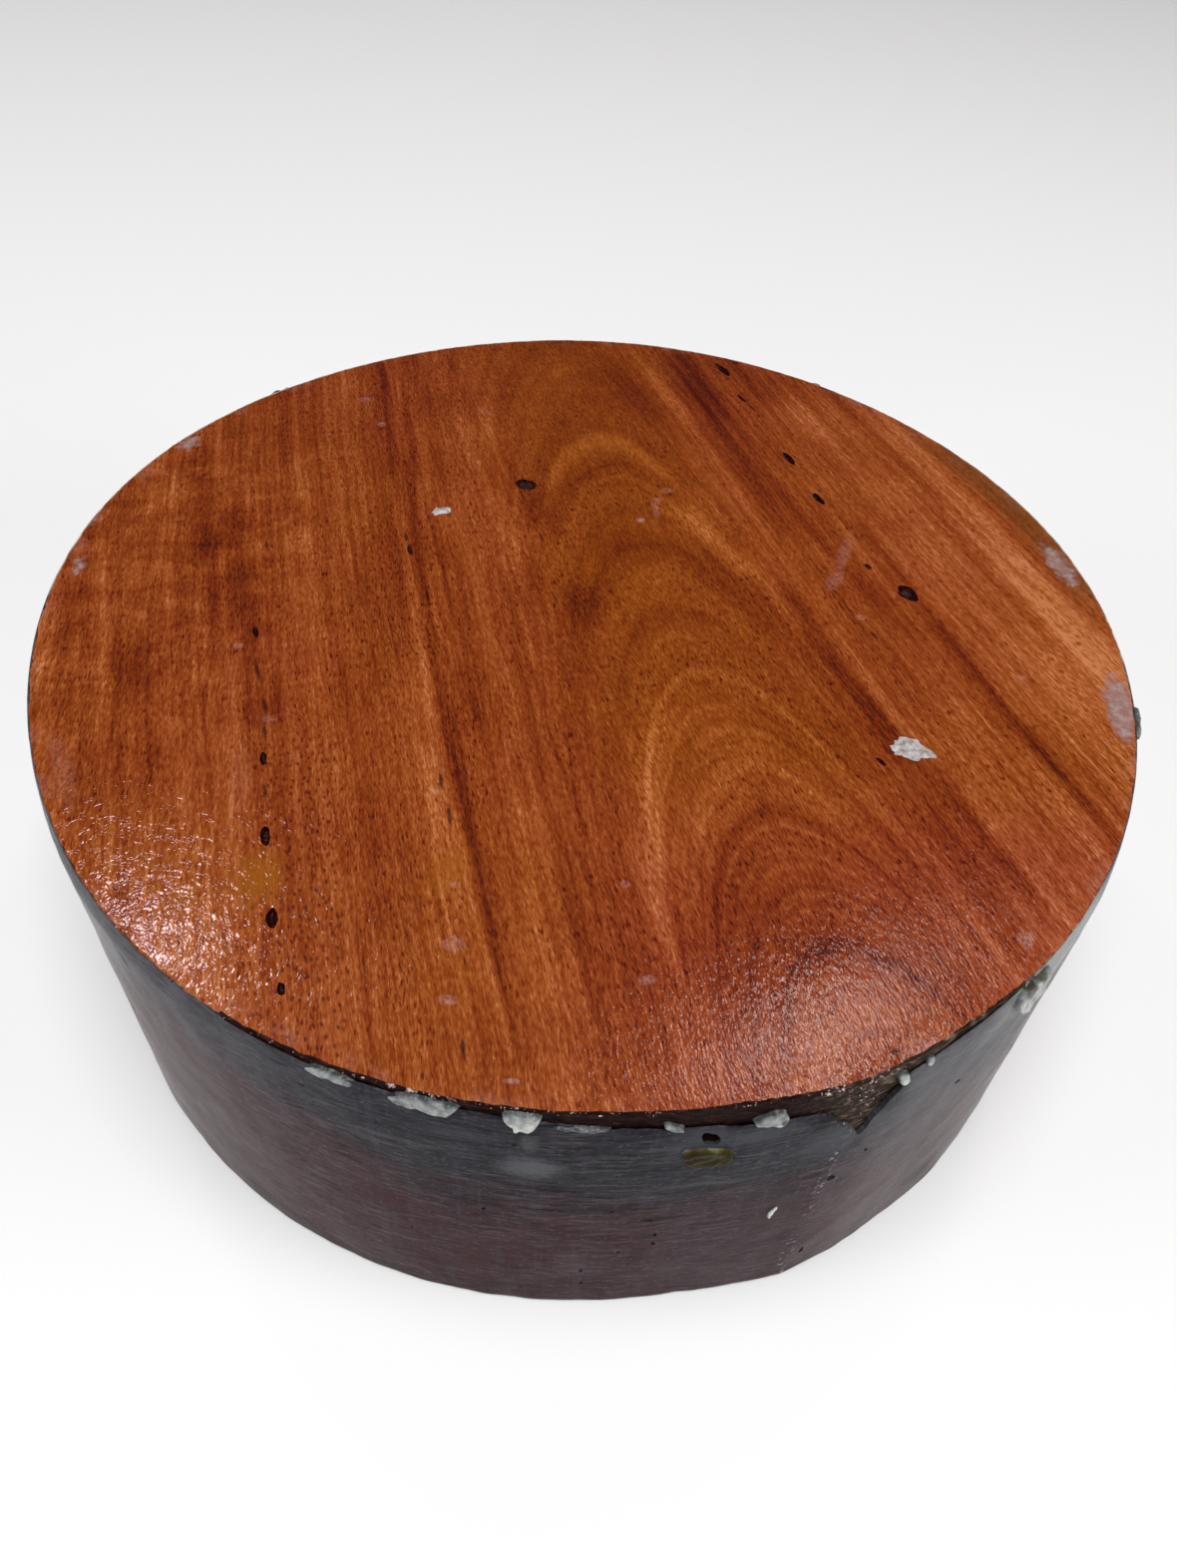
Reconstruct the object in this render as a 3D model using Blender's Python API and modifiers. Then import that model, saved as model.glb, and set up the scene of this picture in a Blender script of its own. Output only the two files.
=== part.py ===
"""A round bowl blank: a thick slice of red-brown hardwood, band-sawn to a disc and sealed with wax.

Units are metres, +Z is up, the underside lies on z = 0 and the disc's axis is the Z axis.
Angles run anticlockwise from +X seen from above; depths are measured down from the top face.
"""

from math import atan2, copysign, cos, pi, radians, sin

import bmesh
import bpy
from mathutils import Matrix, Vector

MM = 0.001

# The disc.
DIAMETER = 203.2 * MM
THICKNESS = 76.2 * MM
RADIUS = DIAMETER / 2
EDGE_ROUND = 0.4 * MM
RING_SEGMENTS = 180

# The band saw wanders: lobes round the rim, as (count, share of the radius, phase in degrees).
SAW_LOBES = ((2, 0.0015, 71), (3, 0.0028, 139), (4, 0.0028, -99), (5, 0.0036, 95))

# The cut was started and ended at one place, which left an upright ridge there.
RIDGE_ANGLE = 295.3
RIDGE_LEFT = 11.0
RIDGE_RIGHT = 13.0
RIDGE_PROUD_TOP = 1.1 * MM
RIDGE_PROUD_FOOT = 1.7 * MM

# To the right of the ridge the wall isn't quite square: it leans out towards the foot.
LEAN_ANGLE = 322.0
LEAN_SPREAD = 34.0
LEAN_PROUD = 2.0 * MM

# The wax coat on the wall.
CLEARANCE = 0.3 * MM
COAT_THICKNESS = 0.7 * MM
COAT_FOOT = 0.8 * MM
COAT_ROWS = 2
# Where the coat's upper edge lies: (angle, depth). Between 272 and 300 degrees it has come away,
# in a bare strip under the rim and a deep notch beside the ridge.
COAT_EDGE = (
    (0, 0.5), (150, 0.5), (235, 0.8), (248, 1.6), (256, 2.8), (268, 3.6), (273, 4.8),
    (284, 6.0), (292, 4.6), (294, 9.0), (297.5, 21.0), (299.5, 8.0), (301.5, 3.8),
    (312, 1.6), (330, 0.8), (360, 0.5),
)

# Lumps of wax on the wall: name, angle, depth of the top, width, height and how far it stands proud.
RIM_DRIPS = (
    ("rim_drip_1", 252.5, 1.2, 6.4, 4.2, 2.0),
    ("rim_drip_2", 260.6, -0.2, 10.6, 6.0, 2.3),
    ("rim_drip_3", 268.3, -0.2, 5.6, 8.6, 2.6),
    ("rim_drip_4", 274.2, 3.4, 4.8, 3.2, 1.9),
    ("rim_drip_5", 280.2, 3.2, 4.0, 4.0, 2.0),
    ("rim_drip_6", 288.6, 3.0, 5.4, 6.0, 2.4),
    ("rim_drip_7", 300.3, 4.6, 4.0, 5.6, 2.3),
    ("rim_drip_8", 303.6, 1.8, 2.8, 4.2, 2.1),
    ("rim_drip_9", 314.0, -0.2, 10.0, 9.6, 4.2),
    ("rim_drip_10", 351.0, -0.2, 9.0, 5.4, 2.8),
    ("rim_drip_11", 62.0, -0.2, 7.0, 6.6, 2.8),
    ("rim_drip_12", 138.0, -0.2, 8.4, 5.4, 2.8),
)
AMBER_LUMP = ("amber_lump", 283.2, 10.0, 8.2, 9.4, 2.6)
SIDE_CHIP = ("side_chip", 291.5, 40.6, 2.4, 5.0, 2.1)

# Flakes and films of wax on the top face: name, x, y, length, width, thickness, heading in degrees.
FACE_FLAKES = (
    ("face_flake_1", 57.6, -28.9, 7.2, 4.4, 0.6, -12),
    ("face_flake_2", -32.7, 28.3, 4.2, 2.6, 0.5, 10),
    ("face_flake_3", 8.6, 32.6, 2.6, 1.6, 0.4, 35),
    ("rim_film_1", 96.6, -12.0, 17.0, 4.6, 0.4, 83),
    ("rim_film_2", 93.4, 27.5, 14.0, 4.4, 0.4, 107),
    ("rim_film_3", -87.6, 43.0, 9.0, 5.6, 0.4, 62),
    ("rim_film_4", -97.2, 1.6, 6.4, 3.6, 0.4, 88),
)

# Open gum pockets in the top face: x, y, length, width, depth, heading in degrees.
GUM_POCKETS = (
    (-16.5, 39.5, 4.4, 3.4, 1.3, -20),
    (40.4, 57.3, 4.6, 1.5, 1.0, -62),
    (46.1, 43.1, 3.8, 1.5, 1.0, -64),
    (61.9, 13.9, 5.0, 3.2, 1.4, -58),
    (-48.2, -59.0, 4.0, 1.9, 1.1, -76),
    (-43.5, -74.2, 3.6, 1.8, 1.1, -76),
)
# The knot hole in the wall, above the amber lump: angle, depth, width, height, how far in it goes.
KNOT_HOLE = (283.4, 7.6, 4.4, 3.4, 2.4)

LUMP_SEGMENTS = 20
LUMP_RINGS = 12
DRIP_TAPER = 0.28
# Under 1, this gives a lump of wax its steep edge and flattened front.
DRIP_SWELL = 0.6


def tent(angle, centre, left, right):
    """1 at the centre, falling straight to 0 at left and right degrees from it."""
    away = (angle - centre + 180) % 360 - 180
    return max(0.0, 1 + away / left if away < 0 else 1 - away / right)


def hump(angle, centre, spread):
    """A smooth rise from 0 to 1 and back, spread degrees to each side of the centre."""
    away = (angle - centre + 180) % 360 - 180
    return 0.5 + 0.5 * cos(pi * away / spread) if abs(away) < spread else 0.0


def wall_radius(angle, height):
    """The sawn wall's distance from the axis, at an angle in degrees and a height in metres."""
    down = 1 - height / THICKNESS
    lobes = sum(share * cos(radians(count * angle - phase)) for count, share, phase in SAW_LOBES)
    ridge = RIDGE_PROUD_TOP + (RIDGE_PROUD_FOOT - RIDGE_PROUD_TOP) * down
    ridge *= tent(angle, RIDGE_ANGLE, RIDGE_LEFT, RIDGE_RIGHT)
    return RADIUS * (1 + lobes) + ridge + LEAN_PROUD * down * hump(angle, LEAN_ANGLE, LEAN_SPREAD)


def coat_edge(angle):
    """The depth in metres of the coat's upper edge at an angle in degrees."""
    for (a, depth_a), (b, depth_b) in zip(COAT_EDGE, COAT_EDGE[1:]):
        if a <= angle <= b:
            return (depth_a + (depth_b - depth_a) * (angle - a) / (b - a)) * MM
    raise ValueError(angle)


def on_wall(angle, height, out=0.0):
    """A point on the wall, or out metres outside it."""
    r = wall_radius(angle, height) + out
    return Vector((r * cos(radians(angle)), r * sin(radians(angle)), height))


def follow_wall(mesh_data, out=0.0):
    """Moves each vertex of an upright drum out to the sawn outline."""
    for v in mesh_data.verts:
        angle = atan2(v.co.y, v.co.x) * 180 / pi % 360
        v.co = on_wall(angle, v.co.z, out)


def material(name, colour, roughness):
    made = bpy.data.materials.new(name)
    made.use_nodes = True
    shader = made.node_tree.nodes["Principled BSDF"]
    shader.inputs["Base Color"].default_value = (*colour, 1)
    shader.inputs["Roughness"].default_value = roughness
    shader.inputs["Metallic"].default_value = 0.0
    return made


def add_object(name, shape, collection, finish=None):
    """A new object from a bmesh, which is freed."""
    data = bpy.data.meshes.new(name)
    bmesh.ops.recalc_face_normals(shape, faces=shape.faces)
    shape.to_mesh(data)
    shape.free()
    made = bpy.data.objects.new(name, data)
    collection.objects.link(made)
    if finish:
        data.materials.append(finish)
    data.shade_smooth()
    data.set_sharp_from_angle(angle=radians(35))
    return made


def cutter(made):
    """Marks an object as a helper that only cuts."""
    made.hide_render = True
    made.display_type = "WIRE"
    return made


def cut(target, tool):
    boolean = target.modifiers.new("cut_" + tool.name, "BOOLEAN")
    boolean.operation = "DIFFERENCE"
    boolean.object = tool


def drum(low, high, out):
    """An upright solid with the sawn outline, out metres outside it, from height low to high."""
    shape = bmesh.new()
    bmesh.ops.create_cone(
        shape, cap_ends=True, segments=RING_SEGMENTS, radius1=RADIUS, radius2=RADIUS,
        depth=high - low, matrix=Matrix.Translation((0, 0, (low + high) / 2)),
    )
    follow_wall(shape, out)
    return shape


def ellipsoid(width, height, reach, taper=0.0, swell=1.0):
    """A lump centred on the origin: width along X, reach along Y, height along Z, narrower below."""
    shape = bmesh.new()
    bmesh.ops.create_uvsphere(shape, u_segments=LUMP_SEGMENTS, v_segments=LUMP_RINGS, radius=1.0)
    for v in shape.verts:
        narrow = 1 - taper * max(0.0, -v.co.z)
        out = copysign(abs(v.co.y) ** swell, v.co.y)
        v.co = Vector((v.co.x * narrow * width / 2, out * reach, v.co.z * height / 2))
    return shape


def face_wall(shape, angle, height, out=0.0):
    """Turns a lump so that its Y axis points out of the wall, and puts it there."""
    turn = Matrix.Rotation(radians(angle - 90), 4, "Z")
    bmesh.ops.transform(shape, matrix=turn, verts=shape.verts)
    bmesh.ops.translate(shape, vec=on_wall(angle, height, out), verts=shape.verts)


def wood_blank(collection, tools, finish):
    """The slice itself: one solid piece of wood, with its gum pockets and knot hole open."""
    blank = add_object("wood_blank", drum(0, THICKNESS, 0), collection, finish)
    rounding = blank.modifiers.new("sawn_edges", "BEVEL")
    rounding.width = EDGE_ROUND
    rounding.segments = 1
    rounding.limit_method = "ANGLE"
    rounding.angle_limit = radians(60)
    for number, (x, y, length, width, depth, heading) in enumerate(GUM_POCKETS, 1):
        pocket = ellipsoid(length * MM, 2 * depth * MM, width / 2 * MM)
        turn = Matrix.Rotation(radians(heading), 4, "Z")
        place = Matrix.Translation((x * MM, y * MM, THICKNESS))
        bmesh.ops.transform(pocket, matrix=place @ turn, verts=pocket.verts)
        cut(blank, cutter(add_object(f"gum_pocket_{number}", pocket, tools)))
    angle, depth, width, height, reach = KNOT_HOLE
    hole = ellipsoid(width * MM, height * MM, reach * MM)
    face_wall(hole, angle, THICKNESS - depth * MM)
    cut(blank, cutter(add_object("knot_hole", hole, tools)))


def coat_sheet(low, out, edge_gap):
    """An open sheet round the wall, from height low up to the coat's edge plus edge_gap."""
    shape = bmesh.new()
    bmesh.ops.create_circle(
        shape, cap_ends=False, segments=RING_SEGMENTS, radius=RADIUS,
        matrix=Matrix.Translation((0, 0, low)),
    )
    ring = shape.edges[:]
    for row in range(1, COAT_ROWS + 1):
        grown = bmesh.ops.extrude_edge_only(shape, edges=ring)["geom"]
        ring = [e for e in grown if isinstance(e, bmesh.types.BMEdge)]
        for v in (v for v in grown if isinstance(v, bmesh.types.BMVert)):
            angle = atan2(v.co.y, v.co.x) * 180 / pi % 360
            top = THICKNESS - coat_edge(angle) + edge_gap
            v.co.z = low + (top - low) * row / COAT_ROWS
    follow_wall(shape, out)
    return shape


def thicken(made, thickness):
    shell = made.modifiers.new("thickness", "SOLIDIFY")
    shell.thickness = thickness
    shell.offset = 1
    shell.use_even_offset = True


def wax_coat(collection, finish):
    """The skin of wax on the wall, open above and below."""
    coat = add_object("wax_coat", coat_sheet(COAT_FOOT, CLEARANCE, 0), collection, finish)
    thicken(coat, COAT_THICKNESS)


def wall_lump(row, collection, tools_to_cut, finish, taper=DRIP_TAPER):
    """A lump of wax on the wall, fitted over the wood and the coat with a hair's clearance."""
    name, angle, depth, width, height, proud = row
    shape = ellipsoid(width * MM, height * MM, proud * MM, taper, DRIP_SWELL)
    face_wall(shape, angle, THICKNESS - (depth + height / 2) * MM)
    lump = add_object(name, shape, collection, finish)
    for tool in tools_to_cut:
        cut(lump, tool)


def face_flake(row, collection, finish):
    """A thin flake of wax lying on the top face."""
    name, x, y, length, width, thickness, heading = row
    shape = bmesh.new()
    bmesh.ops.create_cone(
        shape, cap_ends=True, segments=LUMP_SEGMENTS, radius1=0.5, radius2=0.38, depth=thickness * MM,
    )
    bmesh.ops.scale(shape, vec=(length * MM, width * MM, 1), verts=shape.verts)
    lift = THICKNESS + CLEARANCE + thickness * MM / 2
    turn = Matrix.Rotation(radians(heading), 4, "Z")
    bmesh.ops.transform(
        shape, matrix=Matrix.Translation((x * MM, y * MM, lift)) @ turn, verts=shape.verts
    )
    add_object(name, shape, collection, finish)


def main():
    for old in list(bpy.data.objects):
        bpy.data.objects.remove(old)
    parts = bpy.data.collections.new("wood_slice")
    tools = bpy.data.collections.new("cutters")
    for collection in (parts, tools):
        bpy.context.scene.collection.children.link(collection)

    heartwood = material("heartwood", (0.30, 0.10, 0.035), 0.35)
    side_wax = material("side_wax", (0.10, 0.08, 0.09), 0.40)
    white_wax = material("white_wax", (0.58, 0.60, 0.56), 0.35)
    amber_wax = material("amber_wax", (0.16, 0.14, 0.05), 0.30)

    wood_blank(parts, tools, heartwood)
    wax_coat(parts, side_wax)

    # What the lumps are cut by: the wall and the coat, each grown by the clearance.
    wall_room = drum(-CLEARANCE, THICKNESS + CLEARANCE, CLEARANCE)
    wall_room = cutter(add_object("wall_room", wall_room, tools))
    coat_room = coat_sheet(COAT_FOOT - CLEARANCE, 0, CLEARANCE)
    coat_room = cutter(add_object("coat_room", coat_room, tools))
    thicken(coat_room, COAT_THICKNESS + 2 * CLEARANCE)

    for row in RIM_DRIPS:
        wall_lump(row, parts, (wall_room, coat_room), white_wax)
    wall_lump(AMBER_LUMP, parts, (wall_room, coat_room), amber_wax, taper=0.0)
    wall_lump(SIDE_CHIP, parts, (wall_room, coat_room), white_wax, taper=0.0)
    for row in FACE_FLAKES:
        face_flake(row, parts, white_wax)


main()
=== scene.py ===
from math import atan2, cos, degrees, hypot, pi, radians, sin, sqrt
from random import Random

import bmesh
import bpy
from mathutils import Matrix, Vector, noise


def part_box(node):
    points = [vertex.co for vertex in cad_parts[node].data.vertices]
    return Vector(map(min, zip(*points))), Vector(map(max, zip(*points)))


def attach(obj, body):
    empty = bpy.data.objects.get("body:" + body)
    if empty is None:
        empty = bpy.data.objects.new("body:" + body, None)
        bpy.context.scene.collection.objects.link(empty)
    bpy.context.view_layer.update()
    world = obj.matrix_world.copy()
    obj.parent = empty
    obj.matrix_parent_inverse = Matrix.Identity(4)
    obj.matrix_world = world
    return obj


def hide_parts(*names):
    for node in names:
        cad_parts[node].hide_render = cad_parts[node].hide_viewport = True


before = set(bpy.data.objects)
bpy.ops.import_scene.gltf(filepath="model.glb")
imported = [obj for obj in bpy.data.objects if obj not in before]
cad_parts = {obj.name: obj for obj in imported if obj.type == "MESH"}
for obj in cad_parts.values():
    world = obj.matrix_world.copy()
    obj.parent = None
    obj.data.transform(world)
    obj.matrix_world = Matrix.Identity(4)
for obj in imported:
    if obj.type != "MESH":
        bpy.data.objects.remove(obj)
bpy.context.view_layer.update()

# A thick round slice of red-brown hardwood: a band-sawn disc with a planed, wax-glossed face and a
# side sealed in grey wax. Geometry is in metres. Angles run anticlockwise from +X seen from above,
# in degrees, and depths are measured down from the top face, in millimetres.
MM = 0.001
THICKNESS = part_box("wood_blank")[1].z
FACE = THICKNESS / MM
RADIUS = 101.6 * MM

# The sawn wall.
SAW_LOBES = ((2, 0.0015, 71), (3, 0.0028, 139), (4, 0.0028, -99), (5, 0.0036, 95))
RIDGE_ANGLE = 295.3
RIDGE_LEFT = 11.0
RIDGE_RIGHT = 13.0
RIDGE_PROUD_TOP = 1.1 * MM
RIDGE_PROUD_FOOT = 1.7 * MM
LEAN_ANGLE = 322.0
LEAN_SPREAD = 34.0
LEAN_PROUD = 2 * MM
WALL_POINTS = 720
WALL_ROWS = 18
WALL_WANDER = 0.1 * MM
RIM_ROUND = 0.35 * MM
RIM_RAGGED = 0.38 * MM

# The wax coat on the wall. Its upper edge is (angle, depth).
COAT_THICKNESS = 0.75 * MM
COAT_GAP = 0.1 * MM
COAT_FOOT = 0.8 * MM
COAT_ROWS = 34
COAT_EDGE = (
    (0, 0.2), (150, 0.2), (228, 0.25), (240, 0.5), (248, 1.1), (256, 1.5), (262, 1.7), (268, 2.2),
    (273, 3.6), (279, 4.3), (284, 5.5), (288, 6.3), (293, 6.8), (299, 4.2), (301, 3.4), (304, 2.4),
    (310, 1), (318, 0.35), (330, 0.2), (360, 0.2),
)
EDGE_RAGGED = 0.8
# The notch's tears and the wax's ripples start from this, so they are the same each time.
RIPPLE_SEED = 5
# Where the edge lies deeper than this the bare wall shows above it.
BARE_FROM = 0.7
# The deep notch beside the ridge, where the coat has broken away: its outline, as (angle, depth).
NOTCH = (
    (292.2, 5), (292.8, 7.2), (293.7, 8.6), (294.3, 10.8), (295, 12), (295.7, 13),
    (295.9, 14.2), (296.4, 15.4), (296.9, 16.8), (297.4, 15.8), (297.6, 13.6), (298.1, 11.2),
    (298.6, 8.6), (299.3, 6.4), (299.8, 4.4), (300.4, 2),
)


def tent(angle, centre, left, right):
    """1 at the centre, falling straight to 0 at left and right degrees from it."""
    away = (angle - centre + 180) % 360 - 180
    return max(0, 1 + away / left if away < 0 else 1 - away / right)


def hump(angle, centre, spread):
    """A smooth rise from 0 to 1 and back, spread degrees to each side of the centre."""
    away = (angle - centre + 180) % 360 - 180
    return 0.5 + 0.5 * cos(pi * away / spread) if abs(away) < spread else 0.0


def wall_radius(angle, height):
    """The sawn wall's distance from the axis."""
    down = 1 - height / THICKNESS
    lobes = sum(share * cos(radians(count * angle - phase)) for count, share, phase in SAW_LOBES)
    ridge = RIDGE_PROUD_TOP + (RIDGE_PROUD_FOOT - RIDGE_PROUD_TOP) * down
    ridge *= tent(angle, RIDGE_ANGLE, RIDGE_LEFT, RIDGE_RIGHT)
    return RADIUS * (1 + lobes) + ridge + LEAN_PROUD * down * hump(angle, LEAN_ANGLE, LEAN_SPREAD)


def on_wall(angle, depth, out=0):
    """The point on the wall at a depth in millimetres, or out metres outside it."""
    height = THICKNESS - depth * MM
    r = wall_radius(angle, height) + out
    return Vector((r * cos(radians(angle)), r * sin(radians(angle)), height))


def wander(point, size, seed):
    """A smooth random value from -1 to 1 that changes over size metres."""
    return noise.noise(point / size + Vector((seed * 7.3, seed * 3.1, seed * 5.7)))


def coat_edge(angle):
    """The depth in millimetres of the coat's upper edge."""
    for (a, depth_a), (b, depth_b) in zip(COAT_EDGE, COAT_EDGE[1:]):
        if a <= angle <= b:
            depth = depth_a + (depth_b - depth_a) * (angle - a) / (b - a)
            break
    round_rim = Vector((cos(radians(angle)), sin(radians(angle)), 0)) * RADIUS
    ragged = 0.6 * wander(round_rim, 3.5 * MM, 1) + 0.4 * wander(round_rim, 1.1 * MM, 2)
    return max(0.15, depth + ragged * EDGE_RAGGED * min(1, depth / 2.5))


# ---- making pieces ----

def angle_of(point):
    """A point's angle about the axis, from 0 to 360 degrees."""
    return degrees(atan2(point.y, point.x)) % 360


def turned(at, heading):
    """The matrix that puts a thing at a place, turned by heading degrees seen from above."""
    return Matrix.Translation(at) @ Matrix.Rotation(radians(heading), 4, "Z")


def on_face(x, y, heading):
    """The same for a thing on the top face, with its place in millimetres."""
    return turned((x * MM, y * MM, THICKNESS), heading)


def add_object(name, data):
    """A new object in the scene."""
    made = bpy.data.objects.new(name, data)
    bpy.context.scene.collection.objects.link(made)
    return made


def mesh_from(name, shape, *finishes):
    """A mesh from a bmesh, which is used up."""
    data = bpy.data.meshes.new(name)
    for finish in finishes:
        data.materials.append(finish)
    shape.to_mesh(data)
    shape.free()
    return data


def new_piece(name, shape, *finishes):
    """A piece of the slice from a bmesh, riding on the slice."""
    piece = add_object(name, mesh_from(name, shape, *finishes))
    piece.data.shade_smooth()
    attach(piece, "root")
    return piece


def stands_for(node):
    """Puts a piece in a node's stead by hiding the node's CAD part."""
    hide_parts(node)


def bake_modifiers(piece):
    """Keeps what the modifiers make as the piece's own mesh."""
    bpy.context.view_layer.update()
    graph = bpy.context.evaluated_depsgraph_get()
    made = bpy.data.meshes.new_from_object(piece.evaluated_get(graph))
    piece.modifiers.clear()
    piece.data = made


def carve(piece, cutters):
    """Cuts closed shapes out of a piece."""
    for cutter in cutters:
        cut = piece.modifiers.new("cut", "BOOLEAN")
        cut.operation = "DIFFERENCE"
        cut.object = cutter
    bake_modifiers(piece)
    for cutter in cutters:
        bpy.data.objects.remove(cutter)


def pebble(size, seed, rough=0.25, fine=3):
    """A lump of that size (three half-widths in metres), with an uneven surface."""
    shape = bmesh.new()
    bmesh.ops.create_icosphere(shape, subdivisions=fine, radius=1.0)
    for v in shape.verts:
        v.co *= 1 + rough * noise.noise(v.co * 1.3 + Vector((seed, seed * 2, 0)))
        v.co = Vector((v.co.x * size[0], v.co.y * size[1], v.co.z * size[2]))
    return shape


def cutter_from(shape, place, finishes=(), chosen=0):
    """A temporary object that carve() uses. Its cut shows the chosen one of the finishes."""
    bmesh.ops.transform(shape, matrix=place, verts=shape.verts)
    for face in shape.faces:
        face.material_index = chosen
    return add_object("cutter", mesh_from("cutter", shape, *finishes))


# ---- shader wiring ----

class Wiring:
    """One material's nodes, with short ways to join them."""

    def __init__(self, name):
        self.material = bpy.data.materials.new(name)
        self.material.use_nodes = True
        self.tree = self.material.node_tree
        self.shader = self.tree.nodes["Principled BSDF"]

    def node(self, kind, **settings):
        made = self.tree.nodes.new(kind)
        for key, value in settings.items():
            setattr(made, key, value)
        return made

    def join(self, socket, value):
        """Links a node's output to a socket, or sets the socket to a number or colour."""
        if isinstance(value, bpy.types.NodeSocket):
            self.tree.links.new(value, socket)
        elif isinstance(value, tuple) and len(value) == 3 and socket.type == "RGBA":
            socket.default_value = (*value, 1)
        else:
            socket.default_value = value

    def set(self, **values):
        """Sets the main shader's sockets, as base_color=..., coat_weight=..."""
        names = {s.name.lower().replace(" ", "_"): s for s in self.shader.inputs}
        for key, value in values.items():
            self.join(names[key], value)

    def math(self, operation, *values):
        made = self.node("ShaderNodeMath", operation=operation)
        for socket, value in zip(made.inputs, values):
            self.join(socket, value)
        return made.outputs[0]

    def add(self, *values):
        total = values[0]
        for value in values[1:]:
            total = self.math("ADD", total, value)
        return total

    def sub(self, a, b):
        return self.math("SUBTRACT", a, b)

    def mul(self, *values):
        total = values[0]
        for value in values[1:]:
            total = self.math("MULTIPLY", total, value)
        return total

    def div(self, a, b):
        return self.math("DIVIDE", a, b)

    def most(self, a, b):
        return self.math("MAXIMUM", a, b)

    def gap(self, a, b):
        """How far apart two values are."""
        return self.math("ABSOLUTE", self.sub(a, b))

    def length(self, a, b):
        return self.math("SQRT", self.add(self.mul(a, a), self.mul(b, b)))

    def turn(self, x, y):
        """The angle about the axis, from -180 to 180 degrees."""
        return self.math("DEGREES", self.math("ARCTAN2", y, x))

    def step(self, value, low, high):
        """0 below low and 1 above high, smooth between. With high under low it falls instead."""
        made = self.node("ShaderNodeMapRange", interpolation_type="SMOOTHSTEP", clamp=False)
        self.join(made.inputs["Value"], value)
        self.join(made.inputs["From Min"], min(low, high))
        self.join(made.inputs["From Max"], max(low, high))
        self.join(made.inputs["To Min"], 0 if low < high else 1)
        self.join(made.inputs["To Max"], 1 if low < high else 0)
        return made.outputs[0]

    def blend(self, share, a, b):
        """a where share is 0 and b where it is 1, as numbers."""
        return self.add(self.mul(self.sub(1, share), a), self.mul(share, b))

    def mix(self, share, a, b):
        """Colour a where share is 0 and colour b where it is 1."""
        made = self.node("ShaderNodeMix", data_type="RGBA")
        self.join(made.inputs[0], share)
        self.join(made.inputs[6], a)
        self.join(made.inputs[7], b)
        return made.outputs[2]

    def vector(self, x=0, y=0, z=0):
        made = self.node("ShaderNodeCombineXYZ")
        for socket, value in zip(made.inputs, (x, y, z)):
            self.join(socket, value)
        return made.outputs[0]

    def noise(self, vector, scale=1, detail=2, roughness=0.5, twist=0):
        """Soft random values about 0.5."""
        made = self.node("ShaderNodeTexNoise", noise_dimensions="3D")
        for name, value in (
            ("Vector", vector), ("Scale", scale), ("Detail", detail), ("Roughness", roughness),
            ("Distortion", twist),
        ):
            self.join(made.inputs[name], value)
        return made.outputs["Fac"]

    def stretched(self, axes, detail=2, roughness=0.5, twist=0):
        """Noise on three axes, each a value, or (value, how finely it changes along it)."""
        point = (self.mul(*axis) if isinstance(axis, tuple) else axis for axis in axes)
        return self.noise(self.vector(*point), 1, detail, roughness, twist)

    def ramp(self, value, stops):
        """A colour for each value: stops are (place, colour)."""
        made = self.node("ShaderNodeValToRGB")
        band = made.color_ramp
        while len(band.elements) < len(stops):
            band.elements.new(0.5)
        for element, (place, colour) in zip(band.elements, stops):
            element.position = place
            element.color = (*colour, 1)
        self.join(made.inputs[0], value)
        return made.outputs[0]

    def place_mm(self):
        """x, y and z of the point in millimetres."""
        where = self.node("ShaderNodeTexCoord").outputs["Object"]
        scaled = self.node("ShaderNodeVectorMath", operation="SCALE")
        self.join(scaled.inputs[0], where)
        scaled.inputs["Scale"].default_value = 1 / MM
        split = self.node("ShaderNodeSeparateXYZ")
        self.join(split.inputs[0], scaled.outputs[0])
        return scaled.outputs[0], *split.outputs

    def spot(self, x, y, at, along, across, heading, ragged, edge=0.35):
        """1 inside an uneven oval round a point of the top face, 0 outside."""
        dx, dy = self.sub(x, at[0]), self.sub(y, at[1])
        c, s = cos(radians(heading)), sin(radians(heading))
        run = self.div(self.add(self.mul(dx, c), self.mul(dy, s)), along)
        side = self.div(self.sub(self.mul(dy, c), self.mul(dx, s)), across)
        return self.step(self.add(self.length(run, side), ragged), 1 + edge, 1 - edge)

    def bump(self, height):
        """A surface normal from a height in millimetres."""
        made = self.node("ShaderNodeBump")
        self.join(made.inputs["Height"], height)
        made.inputs["Strength"].default_value = 1.0
        made.inputs["Distance"].default_value = MM
        return made.outputs[0]


# ---- the wood ----

# The growth rings cross the top face in nested arches, open towards the front. Their tips lie on a
# line, x = TIP_X - TIP_LEAN * y, and the arches are wider to its left than to its right.
TIP_X = 18.0
TIP_LEAN = 0.322
TIP_BEND = -0.0003
LEFT_ROUND, LEFT_STEEP = 8, 0.7
RIGHT_ROUND, RIGHT_STEEP = 6.5, 3.0
RIGHT_WIDEN = 0.04
EVEN_ROUND, EVEN_STEEP = 7.3, 1.4
STEEP_FROM = 50 ** 2
SIDE_BLEND = 8.0
RING_START = 88.0
RING_DIP = 0.6
# The fibres fan out from a point far behind the slice, at its left.
FAN_X, FAN_Y = -185, 507
FAN_REACH = hypot(FAN_X, FAN_Y)

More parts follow.
